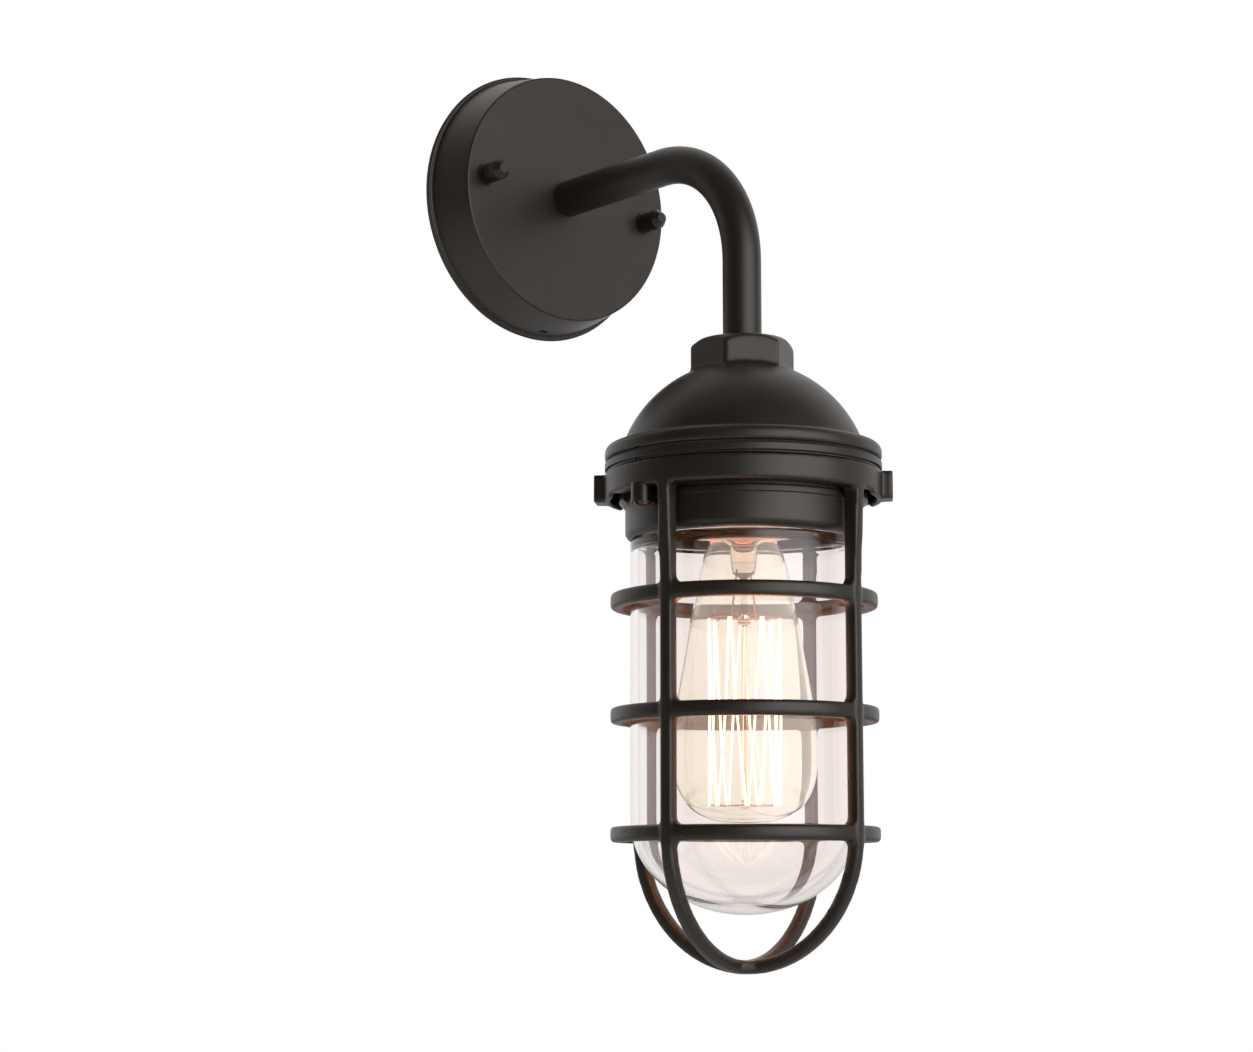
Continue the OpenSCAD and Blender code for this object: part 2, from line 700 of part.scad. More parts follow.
// A captive screw: a long round head with a slot, and a shank up into the dome's rim
module cage_screw(angle) {
  head_top = band_end + head_recess - seat;
  on_lamp() towards(angle) translate([screw_c, 0, head_top]) difference() {
    union() {
      translate([0, 0, -cage_screw_head_l]) rotate_extrude() difference() {
        square([cage_screw_head_d / 2, cage_screw_head_l]);
        translate([cage_screw_head_d / 2 - 0.6, 0]) rotate(-45) square([2, 2], center = true);
      }
      cylinder(d = cage_screw_d, h = rim_under + dome_rim_h - 2 - head_top);
    }
    translate([-5, -0.6, -cage_screw_head_l - 1]) cube([10, 1.2, 2.4]);
  }
}

module cage_screw_left() color("#2f2c2a") cage_screw(90);

module cage_screw_right() color("#2f2c2a") cage_screw(-90);

// ---- Glass jar ----

// Points of a quarter of an ellipse, from its side down to the axis
function bowl(rx, rz, zc, n) = [for (i = [0 : n]) [rx * cos(90 * i / n), zc - rz * sin(90 * i / n)]];

module glass_gasket() color("#3a3936") on_lamp()
  tube(neck_bore - 0.4, web_in + 1.5, glass_gasket_z, fitter_under);

// One turn of the jar's coarse thread: how far out, and how far down
jar_thread = [[0, 0], [0.6, 0.7], [0.6, 1.5], [0, 2.2]];

module glass_jar() color("#dfe6e8", 0.35) on_lamp() rotate_extrude() {
  inner = jar_r - jar_wall;
  outside = bowl(jar_r, jar_bowl_h, jar_side_end, 24);
  inside = bowl(inner, jar_bowl_h - jar_wall, jar_side_end, 24);
  polygon(concat(
    [[neck_r - jar_wall, neck_top], [neck_r, neck_top]],
    [for (k = [0 : 3], p = jar_thread) [neck_r + p[0], neck_top - 4 - 4.2 * k - p[1]]],
    [[neck_r, shoulder_z], [jar_r - 1, shoulder_z], [jar_r, shoulder_z - 1]],
    outside,
    [for (i = [24 : -1 : 0]) inside[i]],
    [[inner, shoulder_z - 4], [neck_r - jar_wall, shoulder_z - 1]]
  ));
}

// ---- Socket ----

module socket_bracket() color("#b9bcbe") on_lamp() difference() {
  foot_z = socket_top;
  union() {
    translate([-bracket_half, -bracket_w / 2, pad_z - bracket_t])
      cube([2 * bracket_half, bracket_w, bracket_t]);
    for (s = [-1, 1]) mirror([s < 0 ? 1 : 0, 0, 0]) {
      translate([bracket_half - bracket_t, -bracket_w / 2, foot_z])
        cube([bracket_t, bracket_w, pad_z - foot_z]);
      translate([bracket_half - bracket_t, -bracket_w / 2, foot_z])
        cube([bracket_foot + bracket_t, bracket_w, bracket_t]);
    }
  }
  translate([0, 0, pad_z - bracket_t - 1]) cylinder(r = nipple_r + fit, h = bracket_t + 2);
  for (s = [-1, 1]) translate([s * socket_screw_x, 0, foot_z - 1])
    cylinder(r = 1.7, h = bracket_t + 2);
}

module socket_screws() color("#c9ccce") on_lamp() for (s = [-1, 1])
  translate([s * socket_screw_x, 0, socket_top]) difference() {
    union() {
      translate([0, 0, -7]) cylinder(r = 1.5, h = 7 + bracket_t + 0.5);
      translate([0, 0, bracket_t]) cylinder(r = 2.8, h = 2);
    }
    translate([-3.5, -0.4, bracket_t + 1.2]) cube([7, 0.8, 2]);
  }

module socket_body() color("#efece4") on_lamp() difference() {
  rotate_extrude() polygon([
    [0, socket_top], [socket_d / 2 - 1.5, socket_top], [socket_d / 2, socket_top - 1.5],
    [socket_d / 2, socket_end + 1.5], [socket_d / 2 - 1.5, socket_end], [0, socket_end]
  ]);
  translate([0, 0, socket_end - 1])
    cylinder(r = shell_in_r + shell_t + 0.2, h = socket_web_z - socket_end + 1);
  translate([0, 0, socket_web_z - 1]) cylinder(r = shell_hole_r, h = 7);
  for (s = [-1, 1]) {
    translate([s * lead_side, lead_low, socket_top - 4]) cylinder(r = lead_r + 0.2, h = 5);
    translate([s * socket_screw_x, 0, socket_top - 8]) cylinder(r = 1.5 + fit, h = 9);
  }
}

module socket_shell() color("#c8a24c") on_lamp() {
  shell_r = shell_in_r + shell_t;
  tube(shell_r, shell_hole_r, shell_z - shell_t, shell_z);
  tube(shell_r, shell_in_r, shell_z - 20, shell_z - shell_t);
}

module socket_contact() color("#c8a24c") on_lamp() {
  translate([0, 0, contact_z]) cylinder(r = 3.6, h = 0.7);
  translate([0, 0, contact_z]) cylinder(r = 1.4, h = socket_web_z + 6 - contact_z);
}

// ---- Bulb ----

// The bulb's outline: radius and depth under the tip, for a bulb 57.8 wide and 140 long
bulb_outline = [
  [13.2, 25], [13.5, 28.5], [14.6, 31.2], [16.2, 35], [17.8, 41], [19.6, 51], [22, 62],
  [24.4, 76.5], [26.5, 88.5], [28.2, 101], [28.9, 113], [28, 123], [25, 130.5],
  [20.5, 135.2], [12, 139], [0, 140]
];
belly = 113;
bulb_out = [for (p = smooth(bulb_outline, 3)) [bulb_r(p[0], p[1]), bulb_z(p[1])]];
bulb_in = [for (p = smooth(bulb_outline, 3))
  [max(bulb_r(p[0], p[1]) - glass_wall, 0), bulb_z(p[1]) + glass_wall * max(p[1] - belly, 0) / 27]];

// The neck keeps the size of the base, and the rest follows the bulb's own size
function bulb_r(r, depth) = r + (bulb_d / 57.8 - 1) * r * min(max(depth - 28, 0) / 40, 1);
function bulb_z(depth) = tip_z - depth - (bulb_l - 140) * max(depth - 28, 0) / 112;

module bulb_glass() color("#f3ead2", 0.4) on_lamp() rotate_extrude()
  polygon(concat(bulb_out, [for (i = [len(bulb_in) - 1 : -1 : 0]) bulb_in[i]]));

// The screwed shell of the base, with a round thread
module bulb_base() color("#b08d4a") on_lamp() rotate_extrude() {
  turns = 4;
  pitch = 3.6;
  thread = [for (i = [0 : 8 * turns])
    [base_r - 0.3 + 0.3 * cos(45 * i + 180), base_top - 1.4 - pitch * i / 8]];
  foot = base_top - base_l;
  polygon(concat(
    [[11.2, base_top - 0.1], [12.2, base_top - 0.1]], thread,
    [[base_r, foot + 3], [base_r, foot], [base_r - 0.6, foot], [11.9, foot + 3],
     [11.9, base_top - 2], [11.2, base_top - 1]]
  ));
}

module bulb_insulator() color("#241f2b") on_lamp() rotate_extrude() polygon([
  [0, tip_z - 1.6], [4.7, tip_z - 1.6], [10.9, base_top - 0.1], [10.9, base_top - 1.2],
  [0, base_top - 1.2]
]);

module bulb_contact() color("#b8b4aa") on_lamp() rotate_extrude() polygon([
  [0, tip_z], [3, tip_z], [4.6, tip_z - 1.2], [4.6, tip_z - 1.5], [0, tip_z - 1.5]
]);

// Stem, press and centre rod, all of glass
stem_root = bulb_z(27);
press_z = bulb_z(41);
hook_high = bulb_z(60);
hook_low = bulb_z(133);
button_r = 2.2;
hook_r = 14.5;
hook_wire_r = 0.25;
strand_r = 0.2;

module bulb_stem() color("#e9e4d6", 0.5) on_lamp() {
  translate([0, 0, stem_root - 2]) cylinder(r1 = 6, r2 = 12, h = 3);
  translate([0, 0, press_z + 3]) cylinder(r1 = 5, r2 = 6, h = stem_root - press_z - 5);
  translate([0, 0, press_z]) cylinder(r = 5, h = 3);
  translate([0, 0, hook_low]) cylinder(r = 1.1, h = press_z - hook_low + 1);
  for (z = [hook_high, hook_low]) translate([0, 0, z - 1.2]) cylinder(r = button_r, h = 2.4);
}

// Wires that hold the filament, and the two that feed it
module bulb_supports() color("#8a7a5e") on_lamp() {
  for (k = [0 : strands / 2 - 1], end = [0, 1])
    rotate([0, 0, 720 / strands * (k + end / 2)])
      translate([button_r, 0, end == 0 ? hook_high : hook_low]) rotate([0, 90, 0])
      cylinder(r = hook_wire_r, h = hook_r + 0.4 - button_r, $fn = 24);
  for (s = [-1, 1]) translate([s * 3.6, 0, hook_high])
    cylinder(r = 0.4, h = press_z - hook_high, $fn = 24);
}

// Strands between the upper and the lower wires, past both sides of each wire's end
module bulb_filament() color("#ffd9a0") on_lamp() for (k = [0 : strands - 1]) {
  step = 360 / strands;
  side = k % 2 == 0 ? 1 : -1;
  beside = side * asin((hook_wire_r + strand_r + 0.02) / hook_r);
  a0 = 2 * step * floor(k / 2) + beside;
  a1 = 2 * step * floor(k / 2) + side * step - beside;
  top = [hook_r * cos(a0), hook_r * sin(a0), hook_high + 0.5];
  low = [hook_r * cos(a1), hook_r * sin(a1), hook_low - 0.5];
  v = low - top;
  translate(top) rotate([0, acos(v[2] / norm(v)), atan2(v[1], v[0])])
    cylinder(r = strand_r, h = norm(v), $fn = 16);
}

wall_gasket();
wall_plate();
box_strap();
stud_strap();
strap_eyelet();
mounting_studs();
stud_nuts();
nut_washers();
cap_nut_left();
cap_nut_right();
ground_screw();
ground_terminals();
ground_wire();
wire_nuts();
arm_tube();
arm_bushings();
arm_nipple();
arm_lock_washer();
arm_lock_nut();
dome();
head_nipple();
head_lock_washer();
head_lock_nut();
lamp_lead_black();
lamp_lead_white();
dome_gasket();
glass_fitter();
fitter_screws();
cage_guard();
cage_screw_left();
cage_screw_right();
glass_gasket();
glass_jar();
socket_bracket();
socket_screws();
socket_body();
socket_shell();
socket_contact();
bulb_base();
bulb_insulator();
bulb_contact();
bulb_glass();
bulb_stem();
bulb_supports();
bulb_filament();
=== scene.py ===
import math
import bmesh
import bpy
from mathutils import Matrix, Vector


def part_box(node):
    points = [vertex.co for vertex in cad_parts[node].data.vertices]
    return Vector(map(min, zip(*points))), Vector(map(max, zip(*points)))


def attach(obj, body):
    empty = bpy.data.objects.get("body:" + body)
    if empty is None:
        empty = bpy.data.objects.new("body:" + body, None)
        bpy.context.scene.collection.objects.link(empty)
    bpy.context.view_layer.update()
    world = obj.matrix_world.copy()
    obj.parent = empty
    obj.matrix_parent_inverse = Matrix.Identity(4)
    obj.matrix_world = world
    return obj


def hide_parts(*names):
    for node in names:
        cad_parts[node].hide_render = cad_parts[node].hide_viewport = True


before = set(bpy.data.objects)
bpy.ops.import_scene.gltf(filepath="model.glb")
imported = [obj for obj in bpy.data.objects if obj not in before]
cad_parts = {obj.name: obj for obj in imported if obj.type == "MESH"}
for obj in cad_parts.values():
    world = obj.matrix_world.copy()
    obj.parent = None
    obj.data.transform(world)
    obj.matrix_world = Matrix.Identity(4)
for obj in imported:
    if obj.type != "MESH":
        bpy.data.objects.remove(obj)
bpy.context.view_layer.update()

mm = 0.001
scene = bpy.context.scene

# where the main pieces stand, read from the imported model
jarLow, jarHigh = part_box("glass_jar")
cageLow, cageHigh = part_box("cage_guard")
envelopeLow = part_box("bulb_glass")[0]
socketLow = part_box("socket_body")[0]
lampX = (jarLow.x + jarHigh.x) / 2
lampY = (jarLow.y + jarHigh.y) / 2
jarRadius = (jarHigh.x - jarLow.x) / 2


def newMaterial(name):
    material = bpy.data.materials.new(name)
    material.use_nodes = True
    nodes = material.node_tree.nodes
    return material, nodes, material.node_tree.links, nodes["Principled BSDF"]


# noise over the object's own coordinates; scale counts its waves in a metre
def addNoise(nodes, links, scale, detail=3.0, roughness=0.5, stretch=(1, 1, 1)):
    coords = nodes.new("ShaderNodeTexCoord")
    mapping = nodes.new("ShaderNodeMapping")
    mapping.inputs["Scale"].default_value = stretch
    links.new(coords.outputs["Object"], mapping.inputs["Vector"])
    noise = nodes.new("ShaderNodeTexNoise")
    noise.inputs["Scale"].default_value = scale
    noise.inputs["Detail"].default_value = detail
    noise.inputs["Roughness"].default_value = roughness
    links.new(mapping.outputs["Vector"], noise.inputs["Vector"])
    return noise


def addRamp(nodes, links, source, low, high, positions=(0.3, 0.7)):
    ramp = nodes.new("ShaderNodeValToRGB")
    ramp.color_ramp.elements[0].position = positions[0]
    ramp.color_ramp.elements[1].position = positions[1]
    ramp.color_ramp.elements[0].color = (*low, 1)
    ramp.color_ramp.elements[1].color = (*high, 1)
    links.new(source, ramp.inputs["Fac"])
    return ramp


def addRange(nodes, links, source, low, high):
    spread = nodes.new("ShaderNodeMapRange")
    spread.inputs["To Min"].default_value = low
    spread.inputs["To Max"].default_value = high
    links.new(source, spread.inputs["Value"])
    return spread


def addBump(nodes, links, heights, distance, strength=1.0, before=None):
    bump = nodes.new("ShaderNodeBump")
    bump.inputs["Strength"].default_value = strength
    bump.inputs["Distance"].default_value = distance
    links.new(heights, bump.inputs["Height"])
    if before:
        links.new(before.outputs["Normal"], bump.inputs["Normal"])
    return bump


# powder coat and paint: cloudy colour, uneven gloss, a fine grain over a slow orange peel
def coatedMetal(name, dark, light, roughness, grain, grainDepth):
    material, nodes, links, shader = newMaterial(name)
    cloud = addNoise(nodes, links, scale=22, detail=5, roughness=0.6)
    links.new(addRamp(nodes, links, cloud.outputs["Fac"], dark, light).outputs["Color"],
              shader.inputs["Base Color"])
    haze = addNoise(nodes, links, scale=70, detail=4, roughness=0.6)
    links.new(addRange(nodes, links, haze.outputs["Fac"], *roughness).outputs["Result"],
              shader.inputs["Roughness"])
    peel = addNoise(nodes, links, scale=grain / 5, detail=2)
    peelBump = addBump(nodes, links, peel.outputs["Fac"], grainDepth * 2, strength=0.5)
    speck = addNoise(nodes, links, scale=grain, detail=2)
    bump = addBump(nodes, links, speck.outputs["Fac"], grainDepth, strength=0.6, before=peelBump)
    links.new(bump.outputs["Normal"], shader.inputs["Normal"])
    return material


# bare metal with fine streaks round it
def brushedMetal(name, dark, light, roughness):
    material, nodes, links, shader = newMaterial(name)
    streaks = addNoise(nodes, links, scale=300, detail=4, roughness=0.6, stretch=(1, 1, 12))
    links.new(addRamp(nodes, links, streaks.outputs["Fac"], dark, light).outputs["Color"],
              shader.inputs["Base Color"])
    shader.inputs["Metallic"].default_value = 1.0
    links.new(addRange(nodes, links, streaks.outputs["Fac"], *roughness).outputs["Result"],
              shader.inputs["Roughness"])
    bump = addBump(nodes, links, streaks.outputs["Fac"], distance=0.00004, strength=0.5)
    links.new(bump.outputs["Normal"], shader.inputs["Normal"])
    return material


# rubber, porcelain, paint and wire insulation
def mouldedStuff(name, dark, light, roughness, grain=800, grainDepth=0.00003):
    material, nodes, links, shader = newMaterial(name)
    cloud = addNoise(nodes, links, scale=90)
    links.new(addRamp(nodes, links, cloud.outputs["Fac"], dark, light).outputs["Color"],
              shader.inputs["Base Color"])
    links.new(addRange(nodes, links, cloud.outputs["Fac"], *roughness).outputs["Result"],
              shader.inputs["Roughness"])
    speck = addNoise(nodes, links, scale=grain, detail=2)
    bump = addBump(nodes, links, speck.outputs["Fac"], grainDepth, strength=0.5)
    links.new(bump.outputs["Normal"], shader.inputs["Normal"])
    return material


# depth darkens the glass where it is looked through edgeways; glow is a painted glow, an emission on the
# glass that stands for the lit haze round the filament
def clearGlass(name, tint, ior, waveScale, waveDepth, depth, glow=(0, 0, 0), paintedGlowStrength=0.0):
    material, nodes, links, shader = newMaterial(name)
    shader.inputs["Base Color"].default_value = (*tint, 1)
    shader.inputs["Transmission Weight"].default_value = 1.0
    shader.inputs["IOR"].default_value = ior
    smear = addNoise(nodes, links, scale=waveScale * 3)
    links.new(addRange(nodes, links, smear.outputs["Fac"], 0.0, 0.03).outputs["Result"],
              shader.inputs["Roughness"])
    wave = addNoise(nodes, links, scale=waveScale, detail=1, roughness=0.3, stretch=(1, 1, 0.2))
    bump = addBump(nodes, links, wave.outputs["Fac"], waveDepth, strength=0.3)
    links.new(bump.outputs["Normal"], shader.inputs["Normal"])
    # painted glow: the glass itself gives off light, standing for the haze lit by the filament
    shader.inputs["Emission Color"].default_value = (*glow, 1)
    shader.inputs["Emission Strength"].default_value = paintedGlowStrength
    inside = nodes.new("ShaderNodeVolumeAbsorption")
    inside.inputs["Color"].default_value = (0.08, 0.03, 0.0, 1)      # takes a little less of the red
    inside.inputs["Density"].default_value = depth
    links.new(inside.outputs["Volume"], nodes["Material Output"].inputs["Volume"])
    return material


# a lit strand, hotter in some stretches than in others
def glowingWire(name, cool, hot, strength):
    material, nodes, links, shader = newMaterial(name)
    heat = addNoise(nodes, links, scale=160, detail=2, stretch=(1, 1, 0.3))
    shader.inputs["Base Color"].default_value = (0.3, 0.2, 0.1, 1)
    links.new(addRamp(nodes, links, heat.outputs["Fac"], cool, hot).outputs["Color"],
              shader.inputs["Emission Color"])
    shader.inputs["Emission Strength"].default_value = strength
    return material


bronzeCoat = coatedMetal("bronzeCoat", (0.0175, 0.0118, 0.0073), (0.0265, 0.0195, 0.0134), (0.36, 0.46),
                         grain=1100, grainDepth=0.00003)
bronzeScrew = coatedMetal("bronzeScrew", (0.016, 0.0125, 0.0095), (0.025, 0.0200, 0.0158), (0.28, 0.40),
                          grain=1500, grainDepth=0.00002)
zincSteel = brushedMetal("zincSteel", (0.50, 0.52, 0.53), (0.66, 0.67, 0.67), (0.28, 0.42))
brassMetal = brushedMetal("brassMetal", (0.58, 0.42, 0.18), (0.76, 0.58, 0.28), (0.22, 0.36))
tinnedMetal = brushedMetal("tinnedMetal", (0.56, 0.53, 0.44), (0.70, 0.67, 0.56), (0.26, 0.40))
supportWire = brushedMetal("supportWire", (0.52, 0.30, 0.20), (0.78, 0.52, 0.38), (0.35, 0.5))
foamRubber = mouldedStuff("foamRubber", (0.018, 0.018, 0.018), (0.035, 0.034, 0.033), (0.75, 0.92),
                          grain=1400, grainDepth=0.0001)
sealRubber = mouldedStuff("sealRubber", (0.05, 0.048, 0.045), (0.08, 0.078, 0.072), (0.5, 0.7))
# the porcelain is darker and more orange than white porcelain: painted shade and a painted orange glow from
# the lit bulb
porcelain = mouldedStuff("porcelain", (0.50, 0.40, 0.32), (0.60, 0.50, 0.42), (0.10, 0.22),
                         grain=300, grainDepth=0.00004)
greenScrew = mouldedStuff("greenScrew", (0.05, 0.20, 0.06), (0.09, 0.30, 0.10), (0.3, 0.45))
darkInsulator = mouldedStuff("darkInsulator", (0.03, 0.025, 0.04), (0.06, 0.05, 0.07), (0.1, 0.2))
leadBlack = mouldedStuff("leadBlack", (0.015, 0.015, 0.015), (0.03, 0.03, 0.03), (0.4, 0.55))
leadWhite = mouldedStuff("leadWhite", (0.66, 0.64, 0.60), (0.78, 0.76, 0.72), (0.4, 0.55))
leadGreen = mouldedStuff("leadGreen", (0.05, 0.26, 0.05), (0.10, 0.36, 0.09), (0.4, 0.55))
wireNut = mouldedStuff("wireNut", (0.62, 0.22, 0.03), (0.76, 0.30, 0.06), (0.3, 0.45))
jarGlass = clearGlass("jarGlass", (1.0, 0.955, 0.93), ior=1.5, waveScale=18, waveDepth=0.00006, depth=12)
# the bulb's glass has a painted glow: a cream emission that stands for the haze lit by the filament
bulbGlassPaintedGlow = clearGlass("bulbGlassPaintedGlow", (0.97, 0.96, 0.915), ior=1.35, waveScale=30, waveDepth=0.00004, depth=70,
                       glow=(1.0, 0.86, 0.76), paintedGlowStrength=0.055)
# the stem's glass has a fainter painted glow: an orange emission for the filament's light inside it
stemGlassPaintedGlow = clearGlass("stemGlassPaintedGlow", (1.0, 0.90, 0.84), ior=1.2, waveScale=90, waveDepth=0.0001, depth=25,
                       glow=(1.0, 0.66, 0.50), paintedGlowStrength=0.02)
filamentGlow = glowingWire("filamentGlow", (1.0, 0.78, 0.50), (1.0, 0.95, 0.82), strength=2.2)

nodeFinish = {
    "wall_gasket": foamRubber, "wall_plate": bronzeCoat, "box_strap": zincSteel, "stud_strap": zincSteel,
    "strap_eyelet": zincSteel, "mounting_studs": zincSteel, "stud_nuts": zincSteel,
    "nut_washers": bronzeScrew, "cap_nut_left": bronzeScrew, "cap_nut_right": bronzeScrew,
    "ground_screw": greenScrew, "ground_terminals": tinnedMetal, "ground_wire": leadGreen,
    "wire_nuts": wireNut, "arm_tube": bronzeCoat, "arm_bushings": zincSteel, "arm_nipple": brassMetal,
    "arm_lock_washer": zincSteel, "arm_lock_nut": brassMetal, "dome": bronzeCoat,
    "head_nipple": brassMetal, "head_lock_washer": zincSteel, "head_lock_nut": brassMetal,
    "lamp_lead_black": leadBlack, "lamp_lead_white": leadWhite, "dome_gasket": foamRubber,
    "glass_fitter": bronzeCoat, "fitter_screws": zincSteel, "cage_guard": bronzeCoat,
    "cage_screw_left": bronzeScrew, "cage_screw_right": bronzeScrew, "glass_gasket": sealRubber,
    "glass_jar": jarGlass, "socket_bracket": zincSteel, "socket_screws": zincSteel,
    "socket_body": porcelain, "socket_shell": brassMetal, "socket_contact": brassMetal,
    "bulb_base": brassMetal, "bulb_insulator": darkInsulator, "bulb_contact": tinnedMetal,
    "bulb_glass": bulbGlassPaintedGlow, "bulb_stem": stemGlassPaintedGlow, "bulb_supports": supportWire,
    "bulb_filament": filamentGlow,
}
for nodeName, finish in nodeFinish.items():
    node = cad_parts[nodeName]
    node.data.materials.clear()
    node.data.materials.append(finish)
print("finishes are on the CAD nodes")


# puts a finished mesh in the scene as the piece that stands for a CAD node
def addPiece(name, mesh, finish, body, standsFor):
    mesh.materials.clear()
    mesh.materials.append(finish)
    mesh.polygons.foreach_set("material_index", [0] * len(mesh.polygons))
    piece = bpy.data.objects.new(name, mesh)
    scene.collection.objects.link(piece)
    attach(piece, body)
    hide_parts(standsFor)
    return piece


# applies the modifiers of a working object and gives back its plain mesh
def bakedMesh(working):
    bpy.context.view_layer.update()
    evaluated = working.evaluated_get(bpy.context.evaluated_depsgraph_get())
    mesh = bpy.data.meshes.new_from_object(evaluated)
    bpy.data.objects.remove(working)
    return mesh


def workingObject(name, mesh):
    working = bpy.data.objects.new(name, mesh)
    scene.collection.objects.link(working)
    return working


# smooth shading that breaks at edges sharper than an angle in degrees
def smoothShade(mesh, angle=180):
    mesh.polygons.foreach_set("use_smooth", [True] * len(mesh.polygons))
    mesh.set_sharp_from_angle(angle=math.radians(angle))
    return mesh


# a corner of an outline (r, z, rounding) becomes an arc that touches both of its sides
def roundedOutline(corners, steps=6):
    points = []
    for i, (r, z, rounding) in enumerate(corners):
        here = Vector((r, z))
        if rounding <= 0 or i in (0, len(corners) - 1):
            points.append(here)
            continue
        back = (Vector(corners[i - 1][:2]) - here).normalized()
        ahead = (Vector(corners[i + 1][:2]) - here).normalized()
        half = back.angle(ahead) / 2
        reach = rounding / math.tan(half)
        centre = here + (back + ahead).normalized() * rounding / math.sin(half)
        start = here + back * reach - centre
        end = here + ahead * reach - centre
        turn = start.angle_signed(end)
        for k in range(steps + 1):
            spoke = Matrix.Rotation(-turn * k / steps, 2) @ start
            points.append(centre + spoke)
    return points


# turns an outline of (r, z) points round the lamp's axis; a point at r = 0 is a pole
def turned(name, outline, closed=False, sides=192):
    shape = bmesh.new()
    rows = []
    for point in outline:
        if point[0] < 1e-7:
            rows.append([shape.verts.new((lampX, lampY, point[1]))])
            continue
        rows.append([shape.verts.new((lampX + point[0] * math.cos(2 * math.pi * k / sides),
                                      lampY + point[0] * math.sin(2 * math.pi * k / sides), point[1]))
                     for k in range(sides)])
    pairs = list(zip(rows, rows[1:])) + ([(rows[-1], rows[0])] if closed else [])
    for low, high in pairs:
        if len(low) + len(high) == 2:      # from pole to pole there is no face
            continue
        for k in range(sides):
            j = (k + 1) % sides
            ring = [low[k % len(low)], low[j % len(low)], high[j % len(high)], high[k % len(high)]]
            shape.faces.new(list(dict.fromkeys(ring)))
    bmesh.ops.recalc_face_normals(shape, faces=shape.faces)
    mesh = bpy.data.meshes.new(name)
    shape.to_mesh(mesh)
    shape.free()
    return mesh


# a merged copy of a CAD node's mesh, without its own shading
def mergedCopy(nodeName):
    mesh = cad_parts[nodeName].data.copy()
    shape = bmesh.new()
    shape.from_mesh(mesh)
    bmesh.ops.remove_doubles(shape, verts=shape.verts, dist=1e-6)
    bmesh.ops.dissolve_limit(shape, angle_limit=math.radians(0.4), verts=shape.verts, edges=shape.edges)
    shape.to_mesh(mesh)
    shape.free()
    for leftover in ("custom_normal", "sharp_edge", "sharp_face"):
        if leftover in mesh.attributes:
            mesh.attributes.remove(mesh.attributes[leftover])
    mesh.polygons.foreach_set("use_smooth", [True] * len(mesh.polygons))
    return mesh


# the soft edges and fillets of a casting: a mesh is rebuilt on a fine grid, then smoothed
def castMesh(working, grid, passes):
    rebuild = working.modifiers.new("rebuild", "REMESH")
    rebuild.mode = "VOXEL"
    rebuild.voxel_size = grid
    even = working.modifiers.new("even", "SMOOTH")
    even.factor = 0.5
    even.iterations = passes
    return smoothShade(bakedMesh(working))


edgeSizes = {"segments": 3, "angle": 32, "flatWeight": 60}      # rounding starts at this angle in degrees


# a copy of a CAD node with its sharp edges rounded
def softened(nodeName, pieceName, body, width):
    working = workingObject(pieceName + "Work", mergedCopy(nodeName))
    edge = working.modifiers.new("edge", "BEVEL")
    edge.width = width
    edge.segments = edgeSizes["segments"]
    edge.limit_method = "ANGLE"
    edge.angle_limit = math.radians(edgeSizes["angle"])
    edge.use_clamp_overlap = False
    even = working.modifiers.new("even", "WEIGHTED_NORMAL")
    even.weight = edgeSizes["flatWeight"]
    return addPiece(pieceName, bakedMesh(working), nodeFinish[nodeName], body, nodeName)


# a Geometry Nodes tree with named inputs: floats, whole numbers and a geometry
def newTree(name, sizes):
    tree = bpy.data.node_groups.new(name, "GeometryNodeTree")
    tree.interface.new_socket("Geometry", in_out="INPUT", socket_type="NodeSocketGeometry")
    for label, value in sizes.items():
        kind = "NodeSocketInt" if isinstance(value, int) else "NodeSocketFloat"
        tree.interface.new_socket(label, in_out="INPUT", socket_type=kind).default_value = value
    tree.interface.new_socket("Geometry", in_out="OUTPUT", socket_type="NodeSocketGeometry")
    return tree, tree.nodes.new("NodeGroupInput"), tree.nodes.new("NodeGroupOutput")


# a node of a tree; its inputs are values or other nodes' outputs, given by name or by place as i0, i1
def addNode(tree, kind, settings=None, **inputs):
    node = tree.nodes.new(kind)
    for setting, value in (settings or {}).items():
        setattr(node, setting, value)
    for label, value in inputs.items():
        byPlace = label[0] == "i" and label[1:].isdigit()
        socket = node.inputs[int(label[1:])] if byPlace else node.inputs[label]
        if isinstance(value, bpy.types.NodeSocket):
            tree.links.new(value, socket)
        else:
            socket.default_value = value
    return node


def calc(tree, operation, first, second=0.0, third=0.0):
    node = addNode(tree, "ShaderNodeMath", {"operation": operation}, i0=first, i1=second, i2=third)
    return node.outputs[0]


def spot(tree, x=0.0, y=0.0, z=0.0):
    return addNode(tree, "ShaderNodeCombineXYZ", None, X=x, Y=y, Z=z).outputs[0]


# a bar along a path
def sweep(tree, path, section):
    return addNode(tree, "GeometryNodeCurveToMesh", None, Curve=path, **{"Profile Curve": section,
                                                                         "Fill Caps": True}).outputs[0]


# ends a tree in Realize Instances and Set Material
def endTree(tree, parts, finish, groupOut):
    join = tree.nodes.new("GeometryNodeJoinGeometry")
    for part in reversed(parts):
        tree.links.new(part, join.inputs[0])
    real = tree.nodes.new("GeometryNodeRealizeInstances")
    tree.links.new(join.outputs[0], real.inputs[0])
    paint = addNode(tree, "GeometryNodeSetMaterial", None, Geometry=real.outputs[0], Material=finish)
    tree.links.new(paint.outputs[0], groupOut.inputs[0])


# puts a tree on a working object with the piece's own sizes, set by the sockets' identifiers
def grow(name, tree, sizes, mesh=None):
    working = workingObject(name + "Work", mesh or bpy.data.meshes.new(name + "Start"))
    growth = working.modifiers.new("growth", "NODES")
    growth.node_group = tree
    for item in tree.interface.items_tree:
        if item.item_type == "SOCKET" and item.in_out == "INPUT" and item.name in sizes:
            growth[item.identifier] = sizes[item.name]
    return working


